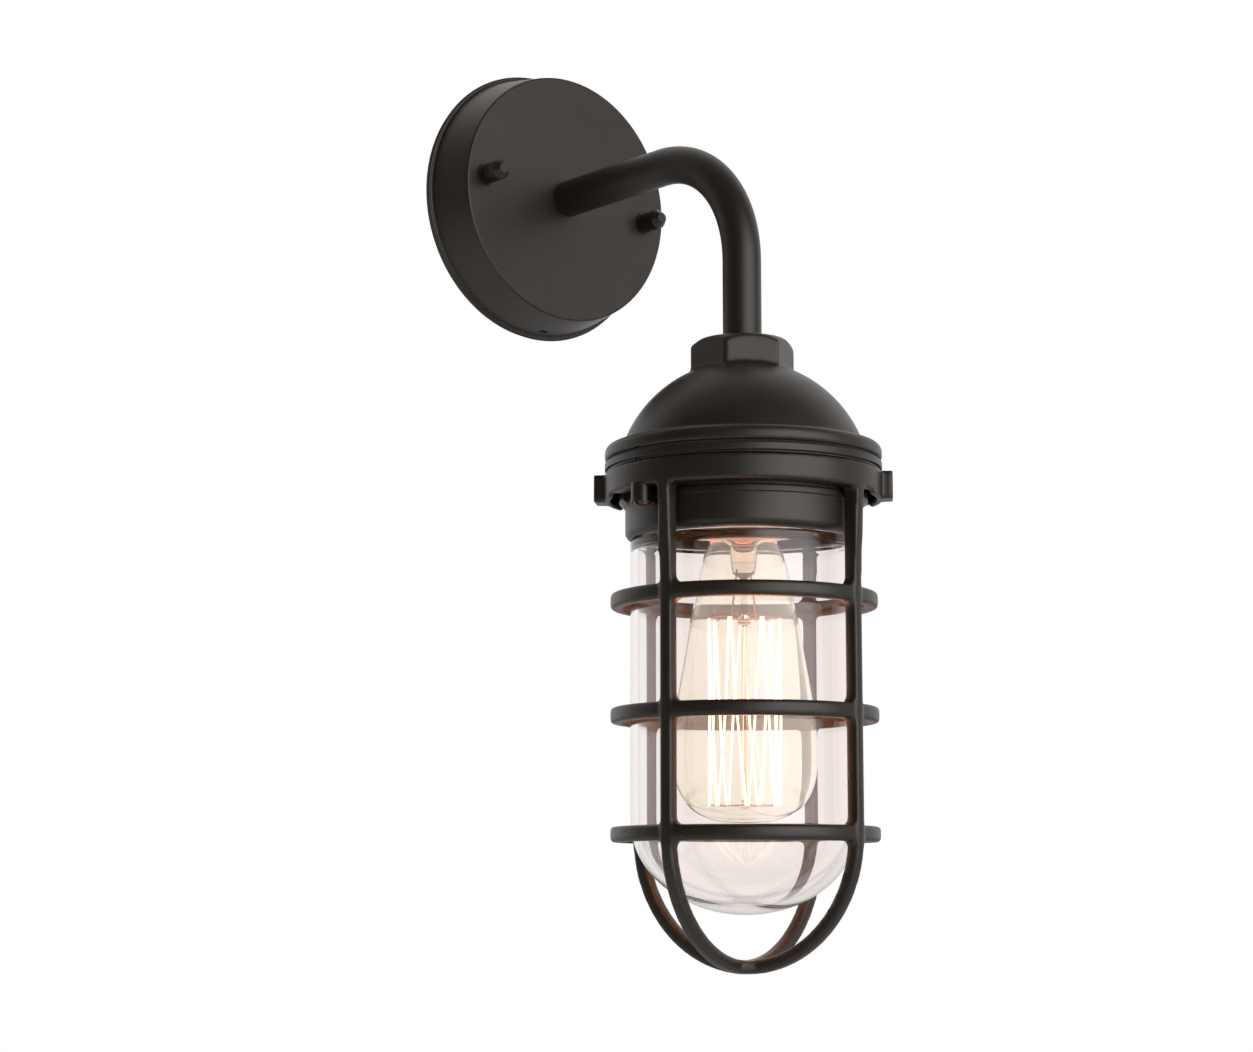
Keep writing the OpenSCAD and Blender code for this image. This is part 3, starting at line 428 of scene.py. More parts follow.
# the cage guard: four ribs that run on as two hoops, three rings, and a band with two lugs
firstRib = 76.2      # degrees from straight ahead towards -X
cageSizes = {
    "Rib Radius": 51.5 * mm, "Rib Depth": 5.5 * mm, "Rib Width": 5.4 * mm,
    "Rib Turn": math.radians(-90 - firstRib), "Rib Top": cageHigh.z - 9.0 * mm,
    "Hoop Height": cageLow.z + 54.25 * mm,
    "Ring Radius": 50.65 * mm, "Ring Depth": 5.6 * mm, "Ring Height": 6.2 * mm,
    "Low Ring": cageLow.z + 57.6 * mm, "Middle Ring": cageLow.z + 104.5 * mm,
    "High Ring": cageLow.z + 150.1 * mm, "Edge": 1.1 * mm, "Knot": 5.2 * mm, "Knot Inset": 1.4 * mm,
}
bandSizes = {
    "inside": 48.4 * mm, "outside": 55.8 * mm, "height": 10.1 * mm,
    "pocket": 53.4 * mm, "pocketHalf": 22, "pocketLap": 0.5,      # half angle and lap are in degrees
    "skirt": 1.5 * mm, "skirtHalf": 20, "skirtLap": 1 * mm,
    "lugOut": 60.0 * mm, "lugLap": 1 * mm, "lugWidth": 12 * mm, "lugTurn": 135,
    "lugBelow": 1.3 * mm, "lugDrop": 0.2 * mm,
    "flareLength": 34 * mm, "rootDepth": 3 * mm, "rootLap": 3 * mm, "rootInset": 0.4 * mm,
    "ribOut": 54.2 * mm, "ribHalf": 2.7 * mm,
    "crossing": 6.75 * mm, "crossingLow": 0.5 * mm, "crossingHigh": 5.2 * mm,
    "wideSteps": 90, "narrowSteps": 24,
}


# a place on the lamp, at an angle in degrees that counts from straight ahead towards -X
def onLamp(radius, degrees, z):
    turn = math.radians(degrees)
    return Vector((lampX - radius * math.sin(turn), lampY - radius * math.cos(turn), z))


# a closed piece of a ring, between two such angles
def ringPart(shape, outline, start, end, steps):
    rows = []
    for k in range(steps + 1):
        turn = start + (end - start) * k / steps
        rows.append([shape.verts.new(onLamp(r, turn, z)) for r, z in outline])
    count = len(outline)
    for low, high in zip(rows, rows[1:]):
        for i in range(count):
            j = (i + 1) % count
            shape.faces.new((low[i], low[j], high[j], high[i]))
    shape.faces.new(rows[0][::-1])
    shape.faces.new(rows[-1])


# a closed bar that stands radially at one angle: its outline is in (r, z), its width across
def radialBar(shape, outline, degrees, half):
    turn = math.radians(degrees)
    across = Vector((math.cos(turn), -math.sin(turn), 0)) * half
    sides = [[shape.verts.new(onLamp(r, degrees, z) + across * s) for r, z in outline] for s in (-1, 1)]
    shape.faces.new(sides[0])
    shape.faces.new(sides[1][::-1])
    for i in range(len(outline)):
        j = (i + 1) % len(outline)
        shape.faces.new((sides[0][j], sides[0][i], sides[1][i], sides[1][j]))


def oblong(inner, outer, low, high):
    return [(inner, low), (outer, low), (outer, high), (inner, high)]


# the band, thin where its pockets are, with a skirt and a lug at the middle of each pocket
def bandAndLugs(shape, low, top):
    plain = oblong(bandSizes["inside"], bandSizes["outside"], low, top)
    thin = oblong(bandSizes["pocket"], bandSizes["outside"], low, top)
    skirt = oblong(bandSizes["pocket"], bandSizes["outside"], low - bandSizes["skirt"],
                   low + bandSizes["skirtLap"])
    lug = oblong(bandSizes["pocket"] + bandSizes["lugLap"], bandSizes["lugOut"],
                 low - bandSizes["lugBelow"], top - bandSizes["lugDrop"])
    half = bandSizes["pocketHalf"]
    lapped = half + bandSizes["pocketLap"]
    for side in (0, 180):
        middle = bandSizes["lugTurn"] + side
        ringPart(shape, plain, middle + half, middle + 180 - half, bandSizes["wideSteps"])
        ringPart(shape, thin, middle - lapped, middle + lapped, bandSizes["narrowSteps"])
        ringPart(shape, skirt, middle - bandSizes["skirtHalf"], middle + bandSizes["skirtHalf"],
                 bandSizes["narrowSteps"])
        radialBar(shape, lug, middle, bandSizes["lugWidth"] / 2)


# each rib flares out to the band
def ribRoots(shape, bandLow):
    flareLow = bandLow - bandSizes["flareLength"]
    rootTop = bandLow + bandSizes["rootLap"]
    rootInside = bandSizes["inside"] + bandSizes["rootInset"]
    root = [(bandSizes["ribOut"] - bandSizes["rootDepth"], flareLow), (bandSizes["ribOut"], flareLow),
            (bandSizes["outside"], bandLow), (bandSizes["outside"], rootTop),
            (rootInside, rootTop), (rootInside, bandLow)]
    for k in range(4):
        radialBar(shape, root, firstRib + 90 * k, bandSizes["ribHalf"])


# the square plate under the lamp where the two hoops cross
def hoopCrossing(shape):
    reach = bandSizes["crossing"] * math.sqrt(2)
    plates = []
    for z in (cageLow.z + bandSizes["crossingLow"], cageLow.z + bandSizes["crossingHigh"]):
        turns = [math.radians(-90 - firstRib + 90 * k) for k in range(4)]
        plates.append([shape.verts.new((lampX + reach * math.cos(turn), lampY + reach * math.sin(turn), z))
                       for turn in turns])
    shape.faces.new(plates[0][::-1])
    shape.faces.new(plates[1])
    for i in range(4):
        j = (i + 1) % 4
        shape.faces.new((plates[0][i], plates[0][j], plates[1][j], plates[1][i]))


# overlapping closed shapes, which the remesh makes one with the ribs and rings
def cageBand():
    shape = bmesh.new()
    bandLow = cageHigh.z - bandSizes["height"]
    bandAndLugs(shape, bandLow, cageHigh.z)
    ribRoots(shape, bandLow)
    hoopCrossing(shape)
    bmesh.ops.recalc_face_normals(shape, faces=shape.faces)
    mesh = bpy.data.meshes.new("cageBand")
    shape.to_mesh(mesh)
    shape.free()
    return mesh


# the section of a cast bar, with its corners rounded
def barSection(tree, depth, width, edge):
    plain = addNode(tree, "GeometryNodeCurvePrimitiveQuadrilateral", None, Width=depth, Height=width)
    section = addNode(tree, "GeometryNodeFilletCurve", {"mode": "POLY"}, Curve=plain.outputs[0], Count=4,
                      Radius=edge)
    return section.outputs[0]


def cageTree():
    tree, given, out = newTree("cageTree", cageSizes)
    size = given.outputs
    # ribs and hoop of one frame, drawn flat in X and Y, then stood up; the legs lap the arc a little
    section = barSection(tree, size["Rib Depth"], size["Rib Width"], size["Edge"])
    arc = addNode(tree, "GeometryNodeCurveArc", None, Resolution=96, Radius=size["Rib Radius"],
                  i5=math.pi, i6=math.pi)
    legLength = calc(tree, "SUBTRACT", size["Rib Top"], size["Hoop Height"])
    paths = [arc.outputs[0]]
    for side in (-1, 1):
        legX = calc(tree, "MULTIPLY", size["Rib Radius"], side)
        leg = addNode(tree, "GeometryNodeCurvePrimitiveLine", None, Start=spot(tree, legX, -0.5 * mm),
                      End=spot(tree, legX, legLength))
        paths.append(leg.outputs[0])
    bars = [sweep(tree, path, section) for path in paths]
    flat = tree.nodes.new("GeometryNodeJoinGeometry")
    for bar in bars:
        tree.links.new(bar, flat.inputs[0])
    lift = spot(tree, 0.0, 0.0, size["Hoop Height"])
    standing = addNode(tree, "GeometryNodeTransform", None, Geometry=flat.outputs[0],
                       Rotation=(math.radians(90), 0, 0), Translation=lift)
    index = tree.nodes.new("GeometryNodeInputIndex").outputs[0]
    turn = calc(tree, "MULTIPLY_ADD", index, math.radians(90), size["Rib Turn"])
    two = addNode(tree, "GeometryNodePoints", None, Count=2)
    frames = addNode(tree, "GeometryNodeInstanceOnPoints", None, Points=two.outputs[0],
                     Instance=standing.outputs[0], Rotation=spot(tree, 0.0, 0.0, turn))
    # rings, with a diamond block where each one crosses a rib, which rounds off to the casting's fillets
    circle = addNode(tree, "GeometryNodeCurvePrimitiveCircle", None, Resolution=160,
                     Radius=size["Ring Radius"])
    ring = sweep(tree, circle.outputs[0],
                 barSection(tree, size["Ring Depth"], size["Ring Height"], size["Edge"]))
    knotDepth = calc(tree, "SUBTRACT", size["Ring Depth"], size["Knot Inset"])
    knotSide = calc(tree, "MULTIPLY", size["Knot"], 2.0)
    block = addNode(tree, "GeometryNodeMeshCube", None, Size=spot(tree, knotDepth, knotSide, knotSide))
    diamond = addNode(tree, "GeometryNodeTransform", None, Geometry=block.outputs[0],
                      Rotation=(math.radians(45), 0, 0), Translation=spot(tree, size["Ring Radius"]))
    four = addNode(tree, "GeometryNodePoints", None, Count=4)
    knots = addNode(tree, "GeometryNodeInstanceOnPoints", None, Points=four.outputs[0],
                    Instance=diamond.outputs[0], Rotation=spot(tree, 0.0, 0.0, turn))
    ringSet = tree.nodes.new("GeometryNodeJoinGeometry")
    tree.links.new(ring, ringSet.inputs[0])
    tree.links.new(knots.outputs[0], ringSet.inputs[0])
    parts = [frames.outputs[0]]
    for label in ("Low Ring", "Middle Ring", "High Ring"):
        middle = calc(tree, "MULTIPLY_ADD", size["Ring Height"], -0.5, size[label])
        parts.append(addNode(tree, "GeometryNodeTransform", None, Geometry=ringSet.outputs[0],
                             Translation=spot(tree, 0.0, 0.0, middle)).outputs[0])
    cage = tree.nodes.new("GeometryNodeJoinGeometry")
    for part in parts:
        tree.links.new(part, cage.inputs[0])
    placed = addNode(tree, "GeometryNodeTransform", None, Geometry=cage.outputs[0],
                     Translation=(lampX, lampY, 0))
    endTree(tree, [size["Geometry"], placed.outputs[0]], bronzeCoat, out)
    return tree


castSizes = {"cageGrid": 0.8 * mm, "cagePasses": 9, "domeGrid": 0.85 * mm, "domePasses": 5}

cageWork = grow("cageGuard", cageTree(), cageSizes, cageBand())
cageMesh = castMesh(cageWork, castSizes["cageGrid"], castSizes["cagePasses"])
addPiece("cageGuard", cageMesh, bronzeCoat, "cage", "cage_guard")
print("cage guard is cast with", len(cageMesh.polygons), "faces")


# rounded edges on the plate, the fitter and the fasteners
rounded = {}
for nodeName, pieceName, body, slot, width in (
        ("wall_plate", "wallPlate", "fixture", "bronze_powder", 0.8 * mm),
        ("glass_fitter", "glassFitter", "fixture", "bronze_powder", 0.35 * mm),
        ("cap_nut_left", "capNutLeft", "left_cap_nut", "bronze_screw", 0.15 * mm),
        ("cap_nut_right", "capNutRight", "right_cap_nut", "bronze_screw", 0.15 * mm),
        ("cage_screw_left", "cageScrewLeft", "left_cage_screw", "bronze_screw", 0.25 * mm),
        ("cage_screw_right", "cageScrewRight", "right_cage_screw", "bronze_screw", 0.25 * mm)):
    rounded[pieceName] = softened(nodeName, pieceName, body, width)
print(len(rounded), "pieces have rounded edges")

# the dome's fine edges come from the same kind of cast as the cage's
domeWork = workingObject("domeWork", mergedCopy("dome"))
domeMesh = castMesh(domeWork, castSizes["domeGrid"], castSizes["domePasses"])
addPiece("domeCasting", domeMesh, bronzeCoat, "fixture", "dome")
print("dome is cast with", len(domeMesh.polygons), "faces")


# the jar: a screw neck, a shoulder under the collar, a long straight side and a bowl
jarSizes = {
    "wall": 3 * mm, "neck": 26 * mm, "neckStep": 3 * mm, "bowl": 37 * mm, "bowlSteps": 48,
    "shoulderRound": 1.6 * mm, "footRound": 0.4 * mm, "innerRound": 3 * mm, "mouthRound": 1 * mm,
    "innerTurn": 4 * mm, "innerStep": 0.5 * mm, "sideStart": 1 * mm,
    "threads": 4, "pitch": 4.2 * mm, "firstThread": 4 * mm, "threadDepth": 0.6 * mm,
    "threadRound": 0.3 * mm, "crest": (0.7 * mm, 1.5 * mm), "threadHeight": 2.2 * mm,
}


def bowlCurve(radius, depth, level):
    count = jarSizes["bowlSteps"]
    return [(radius * math.cos(math.pi / 2 * k / count), level - depth * math.sin(math.pi / 2 * k / count))
            for k in range(count + 1)]


def jarOutline():
    wall = jarSizes["wall"]
    inner = jarRadius - wall
    neck = jarRadius - jarSizes["neckStep"]
    shoulder = jarHigh.z - jarSizes["neck"]
    sideEnd = jarLow.z + jarSizes["bowl"]
    inside = [(0, sideEnd - jarSizes["bowl"] + wall)]
    inside += bowlCurve(inner, jarSizes["bowl"] - wall, sideEnd)[-2::-1]
    mouth = jarSizes["mouthRound"]
    corners = [(inner, sideEnd + jarSizes["sideStart"], 0),
               (inner, shoulder - jarSizes["innerTurn"], jarSizes["innerRound"]),
               (neck - wall, shoulder - jarSizes["innerStep"], jarSizes["innerRound"]),
               (neck - wall, jarHigh.z, mouth), (neck, jarHigh.z, mouth)]
    crest = neck + jarSizes["threadDepth"]
    edge = jarSizes["threadRound"]
    for k in range(jarSizes["threads"]):
        level = jarHigh.z - jarSizes["firstThread"] - jarSizes["pitch"] * k
        corners += [(neck, level, edge)]
        corners += [(crest, level - down, edge) for down in jarSizes["crest"]]
        corners += [(neck, level - jarSizes["threadHeight"], edge)]
    corners += [(neck, shoulder, jarSizes["footRound"]), (jarRadius, shoulder, jarSizes["shoulderRound"]),
                (jarRadius, sideEnd, 0)]
    outside = bowlCurve(jarRadius, jarSizes["bowl"], sideEnd)[1:-1] + [(0, jarLow.z)]
    return inside + roundedOutline(corners) + outside


jarMesh = smoothShade(turned("glassJar", jarOutline(), sides=256))
glassJar = addPiece("glassJar", jarMesh, jarGlass, "jar", "glass_jar")


# the bulb's envelope: radius and depth under the tip of its base, in millimetres
bulbSizes = {
    "wall": 0.6, "length": 140, "steps": 6, "belly": 113,
    "outline": [(13.2, 25), (13.5, 28.5), (14.6, 31.2), (16.2, 35), (17.8, 41), (19.6, 51), (22, 62),
                (24.4, 76.5), (26.5, 88.5), (28.2, 101), (28.9, 113), (28, 123), (25, 130.5),
                (20.5, 135.2), (12, 139), (0, 140)],
}
tipZ = envelopeLow.z + bulbSizes["length"] * mm


# a smooth curve through all of its points
def smoothCurve(points, steps):
    curve = []
    for i in range(len(points) - 1):
        p0, p1, p2, p3 = (Vector(points[min(max(i + k, 0), len(points) - 1)]) for k in (-1, 0, 1, 2))
        for s in range(steps):
            t = s / steps
            curve.append(0.5 * (2 * p1 + (p2 - p0) * t + (2 * p0 - 5 * p1 + 4 * p2 - p3) * t ** 2
                                + (3 * p1 - p0 - 3 * p2 + p3) * t ** 3))
    return curve + [Vector(points[-1])]


# the wall is measured sideways, and from the belly down more and more upwards as well
def bulbOutline():
    outer = [(max(p[0], 0) * mm, tipZ - p[1] * mm)
             for p in smoothCurve(bulbSizes["outline"], bulbSizes["steps"])]
    wall = bulbSizes["wall"]
    inner = []
    for r, z in outer:
        depth = (tipZ - z) / mm
        lift = wall * max(depth - bulbSizes["belly"], 0) / (bulbSizes["length"] - bulbSizes["belly"])
        inner.append((max(r - wall * mm, 0), z + lift * mm))
    while inner[-2][0] < 1e-6:      # only the last point may lie on the axis
        inner.pop(-2)
    return outer + inner[::-1]


bulbMesh = smoothShade(turned("bulbGlassPaintedGlow", bulbOutline(), closed=True))
bulbEnvelope = addPiece("bulbGlassPaintedGlow", bulbMesh, bulbGlassPaintedGlow, "bulb", "bulb_glass")

# the stem inside: a hollow flare and tube, a press, and a rod with a button for each row of hooks;
# each corner has its radius, its depth under the tip and its rounding, in millimetres
stemSizes = {
    "sides": 64,
    "flareInside": [(0, 37.5, 0), (3.8, 37.5, 1.2), (4.8, 29.5, 2), (11.4, 25.6, 0.5)],
    "flareOutside": [(12, 25.6, 0.2), (12, 26.6, 0.8), (5.8, 30, 2), (5.0, 38, 2), (4.4, 41.5, 1.2)],
    "rod": [(1.3, 43.5, 1.2), (1.1, 58, 0.6), (2.6, 58.8, 0.8), (2.6, 61.4, 0.8), (1.1, 62.2, 0.6),
            (1.1, 131, 0.6), (2.0, 131.8, 0.6), (2.0, 134, 0.6), (0, 134.4, 0)],
}
stemCorners = stemSizes["flareInside"] + stemSizes["flareOutside"] + stemSizes["rod"]
stemOutline = roundedOutline([(r * mm, tipZ - depth * mm, edge * mm) for r, depth, edge in stemCorners])
stemMesh = smoothShade(turned("bulbStem", stemOutline, sides=stemSizes["sides"]), 60)
bulbStem = addPiece("bulbStem", stemMesh, stemGlassPaintedGlow, "bulb", "bulb_stem")

# filament strands run up and down between the hooks, and each one bows a little
strandSizes = {
    "Strands": 14, "Steps": 12, "Reach": 14.5 * mm, "Beside": 0.03, "Top": tipZ - 59.6 * mm,
    "Bottom": tipZ - 133.4 * mm, "Thickness": 0.44 * mm, "Bow": 0.5 * mm,
}
hookSizes = {
    "Wires": 14, "Steps": 8, "Hub": 1.0 * mm, "Reach": 14.9 * mm, "Top": tipZ - 60 * mm,
    "Bottom": tipZ - 133 * mm, "Thickness": 0.24 * mm, "Lift": 1.6 * mm,
}
feedSizes = {
    "radius": 0.35 * mm, "startOut": 3.6 * mm, "startDepth": 40 * mm, "endOut": 8.5 * mm,
    "endBack": 2 * mm, "endDepth": 59.5 * mm,
}


def wireSection(tree, radius):
    return addNode(tree, "GeometryNodeCurvePrimitiveCircle", None, Resolution=8, Radius=radius).outputs[0]


# points in rows of equal count become one wire for each row
def wiresFrom(tree, count, steps, row, place, thickness):
    points = addNode(tree, "GeometryNodePoints", None, Count=calc(tree, "MULTIPLY", count, steps))
    moved = addNode(tree, "GeometryNodeSetPosition", None, Geometry=points.outputs[0], Position=place)
    wires = addNode(tree, "GeometryNodePointsToCurves", None, i0=moved.outputs[0], i1=row)
    return sweep(tree, wires.outputs[0], wireSection(tree, thickness))


# the number of a point's row, and how far along the row the point is, from 0 to 1
def rowsOf(tree, steps):
    index = tree.nodes.new("GeometryNodeInputIndex").outputs[0]
    row = calc(tree, "FLOOR", calc(tree, "DIVIDE", index, steps))
    along = calc(tree, "DIVIDE", calc(tree, "MODULO", index, steps), calc(tree, "SUBTRACT", steps, 1.0))
    return row, along


def mixed(tree, first, second, share):
    return calc(tree, "MULTIPLY_ADD", calc(tree, "SUBTRACT", second, first), share, first)


# a height that is zero at both ends of a row and largest in its middle
def bowed(tree, along, height):
    return calc(tree, "MULTIPLY", calc(tree, "SINE", calc(tree, "MULTIPLY", along, math.pi)), height)


def strandTree():
    tree, given, out = newTree("strandTree", strandSizes)
    size = given.outputs
    row, along = rowsOf(tree, size["Steps"])
    step = calc(tree, "DIVIDE", 2 * math.pi, size["Strands"])
    side = calc(tree, "MULTIPLY_ADD", calc(tree, "MODULO", row, 2.0), -2.0, 1.0)
    pair = calc(tree, "FLOOR", calc(tree, "DIVIDE", row, 2.0))
    hook = calc(tree, "MULTIPLY", pair, calc(tree, "MULTIPLY", step, 2.0))
    topTurn = calc(tree, "MULTIPLY_ADD", side, size["Beside"], hook)
    lowTurn = calc(tree, "MULTIPLY_ADD", side, calc(tree, "SUBTRACT", step, size["Beside"]), hook)
    across = []
    for trig in ("COSINE", "SINE"):
        top, low = [calc(tree, "MULTIPLY", calc(tree, trig, turn), size["Reach"])
                    for turn in (topTurn, lowTurn)]
        across.append(mixed(tree, top, low, along))
    height = mixed(tree, size["Top"], size["Bottom"], along)
    bow = bowed(tree, along, size["Bow"])
    chance = addNode(tree, "FunctionNodeRandomValue", {"data_type": "FLOAT"}, ID=row, Seed=7,
                     i2=-1.0, i3=1.0)
    sway = calc(tree, "MULTIPLY", chance.outputs[1], bow)
    place = spot(tree, calc(tree, "ADD", calc(tree, "ADD", across[0], sway), lampX),
                 calc(tree, "ADD", calc(tree, "SUBTRACT", across[1], sway), lampY), height)
    wires = wiresFrom(tree, size["Strands"], size["Steps"], row, place, size["Thickness"])
    endTree(tree, [wires], filamentGlow, out)
    return tree


def hookTree():
    tree, given, out = newTree("hookTree", hookSizes)
    size = given.outputs
    row, along = rowsOf(tree, size["Steps"])
    turn = calc(tree, "MULTIPLY", row, calc(tree, "DIVIDE", 2 * math.pi, size["Wires"]))
    isLow = calc(tree, "MODULO", row, 2.0)
    reach = mixed(tree, size["Hub"], size["Reach"], along)
    end = mixed(tree, size["Top"], size["Bottom"], isLow)
    # the upper hooks bow upwards, and the low ones a fifth as much downwards
    rise = calc(tree, "MULTIPLY_ADD", isLow, -1.2, 1.0)
    bow = bowed(tree, along, size["Lift"])
    height = calc(tree, "ADD", end, calc(tree, "MULTIPLY", bow, rise))
    across = [calc(tree, "MULTIPLY_ADD", calc(tree, trig, turn), reach, centre)
              for trig, centre in (("COSINE", lampX), ("SINE", lampY))]
    hooks = wiresFrom(tree, size["Wires"], size["Steps"], row, spot(tree, across[0], across[1], height),
                      size["Thickness"])
    # two feed wires run from the press out to the strands
    parts = [hooks]
    section = wireSection(tree, feedSizes["radius"])
    for side in (-1, 1):
        start = (lampX + side * feedSizes["startOut"], lampY, tipZ - feedSizes["startDepth"])
        end = (lampX + side * feedSizes["endOut"], lampY + side * feedSizes["endBack"],
               tipZ - feedSizes["endDepth"])
        feed = addNode(tree, "GeometryNodeCurvePrimitiveLine", None, Start=start, End=end)
        parts.append(sweep(tree, feed.outputs[0], section))
    endTree(tree, parts, supportWire, out)
    return tree


strandMesh = smoothShade(bakedMesh(grow("bulbFilament", strandTree(), strandSizes)), 60)
addPiece("bulbFilament", strandMesh, filamentGlow, "bulb", "bulb_filament")
hookMesh = smoothShade(bakedMesh(grow("bulbSupports", hookTree(), hookSizes)), 60)
bulbHooks = addPiece("bulbSupports", hookMesh, supportWire, "bulb", "bulb_supports")
for clear in (glassJar, bulbEnvelope, bulbStem):      # clear glass throws no shadow
    clear.visible_shadow = False
print("jar and bulb are made")


# places a light that no camera, mirrored or bent ray sees
def placeLight(name, data, place, power):
    data.energy = power
    light = bpy.data.objects.new(name, data)
    light.location = place
    light.visible_camera = False
    light.visible_glossy = False
    light.visible_transmission = False
    scene.collection.objects.link(light)
    return light


def areaLight(name, place, target, width, height, power):
    data = bpy.data.lights.new(name, "AREA")
    data.shape = "RECTANGLE"
    data.size = width
    data.size_y = height
    light = placeLight(name, data, place, power)
    light.rotation_euler = (target - place).to_track_quat("-Z", "Y").to_euler()


def glowLight(name, height, power, radius, color):
    data = bpy.data.lights.new(name, "POINT")
    data.color = color
    data.shadow_soft_size = radius
    return placeLight(name, data, (lampX, lampY, height), power)


studio = {
    "ambient": 0.18,          # what the world gives to matt surfaces
    "room": 0.035,            # what glossy surfaces see where nothing stands
    "backdrop": 0.95,         # what they see of the white backdrop behind
    "backdropEdge": (-0.1, 0.65),      # where it starts and where it is full, as cosines
    "softbox": 3.2,           # what they see of the tall softbox at the right
    "softboxEdge": (0.68, 0.97),
    "softboxTurn": 44,        # degrees to the right of the camera
    "headHeight": -0.16,      # the lamp's middle, at which the lights point
    "floorDrop": 0.62,        # how far the floor is under the cage
    "floorRadius": 5.0,       # the floor has faded into the white room there
    "floorColour": (0.82, 0.81, 0.80),
    "floorWhite": 0.55,       # share of plain white in the floor's middle
    "floorMirrored": 0.4,     # how much of that the metal shows
}
# each softbox: how far right, up and back it is from the lamp, its width, height and power
softLights = {
    "keyLight": ((1.3, 0.5, -1.3), 0.8, 1.4, 12),
    "fillLight": ((-1.6, 0.3, -0.2), 0.6, 1.4, 7),
    "topLight": ((0.0, 1.6, 0.3), 1.2, 1.0, 15),
}
glowSizes = {
    "neckDrop": 20 * mm, "neckPower": 0.07, "neckRadius": 6 * mm, "neckColour": (1.0, 0.23, 0.05),
    "depths": (85, 124), "power": 0.33, "radius": 13 * mm, "colour": (1.0, 0.36, 0.13),
}
# the place is from the lamp's axis and the wall; tilt and turn are in degrees; the focal length and
# the frame's width are in the photograph's pixels
cameraSizes = {
    "place": (-0.69121, -0.91225, -0.30384), "tilt": 97.95, "turn": -39.23,
    "sensor": 36, "focal": 2600, "frame": 1253,
}
camPlace = Vector(cameraSizes["place"])
headMiddle = Vector((lampX, lampY, studio["headHeight"]))
toBack = Vector((headMiddle.x - camPlace.x, headMiddle.y - camPlace.y, 0)).normalized()
toRight = Vector((toBack.y, -toBack.x, 0))


def fromCamera(right, up, back):
    return headMiddle + toRight * right + Vector((0, 0, 1)) * up + toBack * back


for name, (place, width, height, power) in softLights.items():
    areaLight(name, fromCamera(*place), headMiddle, width, height, power)

# the lit filament warms the cage, but not the glass, the plate, the fitter and the socket, whose mouth
# has a light of its own
glowLight("neckLight", socketLow.z - glowSizes["neckDrop"], glowSizes["neckPower"],
          glowSizes["neckRadius"], glowSizes["neckColour"])
unlit = bpy.data.collections.new("notLitByFilament")
for plain in (glassJar, bulbEnvelope, bulbStem, bulbHooks, rounded["wallPlate"], rounded["glassFitter"],
              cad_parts["socket_body"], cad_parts["socket_shell"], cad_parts["bulb_base"]):
    unlit.objects.link(plain)
for member in unlit.collection_objects:
    member.light_linking.link_state = "EXCLUDE"
for depth in glowSizes["depths"]:
    glow = glowLight(f"filamentLight{depth}", tipZ - depth * mm, glowSizes["power"],
                     glowSizes["radius"], glowSizes["colour"])
    glow.visible_glossy = True      # its glint may show on the cage's metal
    glow.light_linking.receiver_collection = unlit

world = bpy.data.worlds.new("studioWorld")
scene.world = world
world.use_nodes = True
sky = world.node_tree.nodes
skyLinks = world.node_tree.links
sky.clear()
skyOut = sky.new("ShaderNodeOutputWorld")
rays = sky.new("ShaderNodeLightPath")
where = sky.new("ShaderNodeTexCoord")


# how bright glossy surfaces see the room towards a direction
def skyGlow(direction, nearEdge, fullAt, level):
    along = sky.new("ShaderNodeVectorMath")
    along.operation = "DOT_PRODUCT"
    along.inputs[1].default_value = direction
    skyLinks.new(where.outputs["Generated"], along.inputs[0])
    spread = sky.new("ShaderNodeMapRange")
    spread.interpolation_type = "SMOOTHSTEP"
    spread.inputs["From Min"].default_value = nearEdge
    spread.inputs["From Max"].default_value = fullAt
    spread.inputs["To Max"].default_value = level
    skyLinks.new(along.outputs["Value"], spread.inputs["Value"])
    return spread.outputs["Result"]


def skyMath(operation, first, second):
    node = sky.new("ShaderNodeMath")
    node.operation = operation
    for socket, value in zip(node.inputs, (first, second)):
        if isinstance(value, (int, float)):
            socket.default_value = value
        else:
            skyLinks.new(value, socket)
    return node.outputs["Value"]


boxTurn = math.radians(studio["softboxTurn"])
toSoftbox = toRight * math.sin(boxTurn) - toBack * math.cos(boxTurn)
behind = skyGlow(toBack, *studio["backdropEdge"], studio["backdrop"])
beside = skyGlow(toSoftbox, *studio["softboxEdge"], studio["softbox"])
mirrored = skyMath("ADD", behind, skyMath("ADD", beside, studio["room"]))
glossyPart = sky.new("ShaderNodeMix")
glossyPart.inputs["A"].default_value = studio["ambient"]
skyLinks.new(rays.outputs["Is Glossy Ray"], glossyPart.inputs["Factor"])
skyLinks.new(mirrored, glossyPart.inputs["B"])
# straight on and through glass the room is plain white
seen = skyMath("MAXIMUM", rays.outputs["Is Camera Ray"], rays.outputs["Is Transmission Ray"])
level = sky.new("ShaderNodeMix")
level.inputs["B"].default_value = 1.0
skyLinks.new(seen, level.inputs["Factor"])
skyLinks.new(glossyPart.outputs["Result"], level.inputs["A"])
background = sky.new("ShaderNodeBackground")
background.inputs["Color"].default_value = (1, 1, 1, 1)
skyLinks.new(level.outputs["Result"], background.inputs["Strength"])
skyLinks.new(background.outputs["Background"], skyOut.inputs["Surface"])


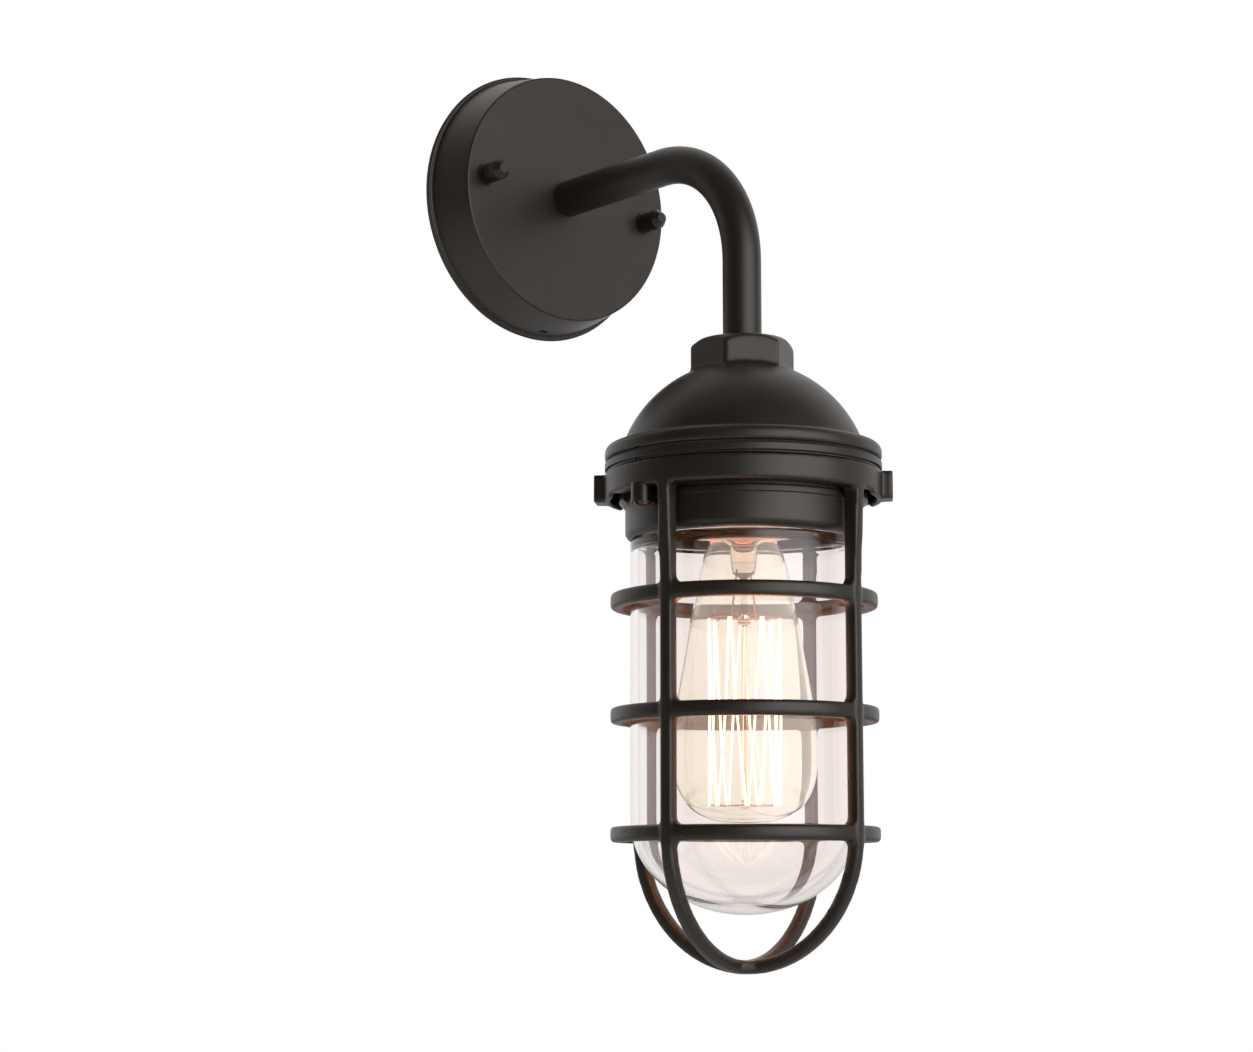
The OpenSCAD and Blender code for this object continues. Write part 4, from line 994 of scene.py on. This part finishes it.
# a pale floor that keeps the light's shadow and fades into the white room at its edge
def makeFloor():
    material, nodes, links, shader = newMaterial("paleFloor")
    nodes.remove(shader)
    matt = nodes.new("ShaderNodeBsdfDiffuse")
    matt.inputs["Color"].default_value = (*studio["floorColour"], 1)
    white = nodes.new("ShaderNodeEmission")
    path = nodes.new("ShaderNodeLightPath")
    place = nodes.new("ShaderNodeTexCoord")
    distance = nodes.new("ShaderNodeVectorMath")
    distance.operation = "LENGTH"
    links.new(place.outputs["Object"], distance.inputs[0])
    fade = nodes.new("ShaderNodeMapRange")
    fade.interpolation_type = "SMOOTHSTEP"
    fade.inputs["From Max"].default_value = studio["floorRadius"]
    fade.inputs["To Min"].default_value = studio["floorWhite"]
    links.new(distance.outputs["Value"], fade.inputs["Value"])
    share = fade.outputs["Result"]
    direct = nodes.new("ShaderNodeMath")
    direct.operation = "MAXIMUM"
    links.new(path.outputs["Is Camera Ray"], direct.inputs[0])
    links.new(path.outputs["Is Transmission Ray"], direct.inputs[1])
    known = nodes.new("ShaderNodeMath")
    known.operation = "MULTIPLY_ADD"
    known.inputs[1].default_value = studio["floorMirrored"]
    links.new(path.outputs["Is Glossy Ray"], known.inputs[0])
    links.new(direct.outputs["Value"], known.inputs[2])
    factor = nodes.new("ShaderNodeMath")
    factor.operation = "MULTIPLY"
    links.new(share, factor.inputs[0])
    links.new(known.outputs["Value"], factor.inputs[1])
    both = nodes.new("ShaderNodeMixShader")
    links.new(factor.outputs["Value"], both.inputs["Fac"])
    links.new(matt.outputs["BSDF"], both.inputs[1])
    links.new(white.outputs["Emission"], both.inputs[2])
    links.new(both.outputs["Shader"], nodes["Material Output"].inputs["Surface"])
    shape = bmesh.new()
    bmesh.ops.create_circle(shape, cap_ends=True, segments=96, radius=studio["floorRadius"])
    mesh = bpy.data.meshes.new("floor")
    shape.to_mesh(mesh)
    shape.free()
    mesh.materials.append(material)
    floor = bpy.data.objects.new("floor", mesh)
    floor.location = (lampX, lampY, cageLow.z - studio["floorDrop"])
    scene.collection.objects.link(floor)


makeFloor()

cameraData = bpy.data.cameras.new("photoCamera")
cameraData.sensor_width = cameraSizes["sensor"]
cameraData.sensor_fit = "HORIZONTAL"
cameraData.lens = cameraSizes["sensor"] * cameraSizes["focal"] / cameraSizes["frame"]
camera = bpy.data.objects.new("photoCamera", cameraData)
camera.location = camPlace
camera.rotation_euler = (math.radians(cameraSizes["tilt"]), 0, math.radians(cameraSizes["turn"]))
scene.collection.objects.link(camera)
scene.camera = camera
scene.view_settings.view_transform = "Standard"
print("studio and camera are set")
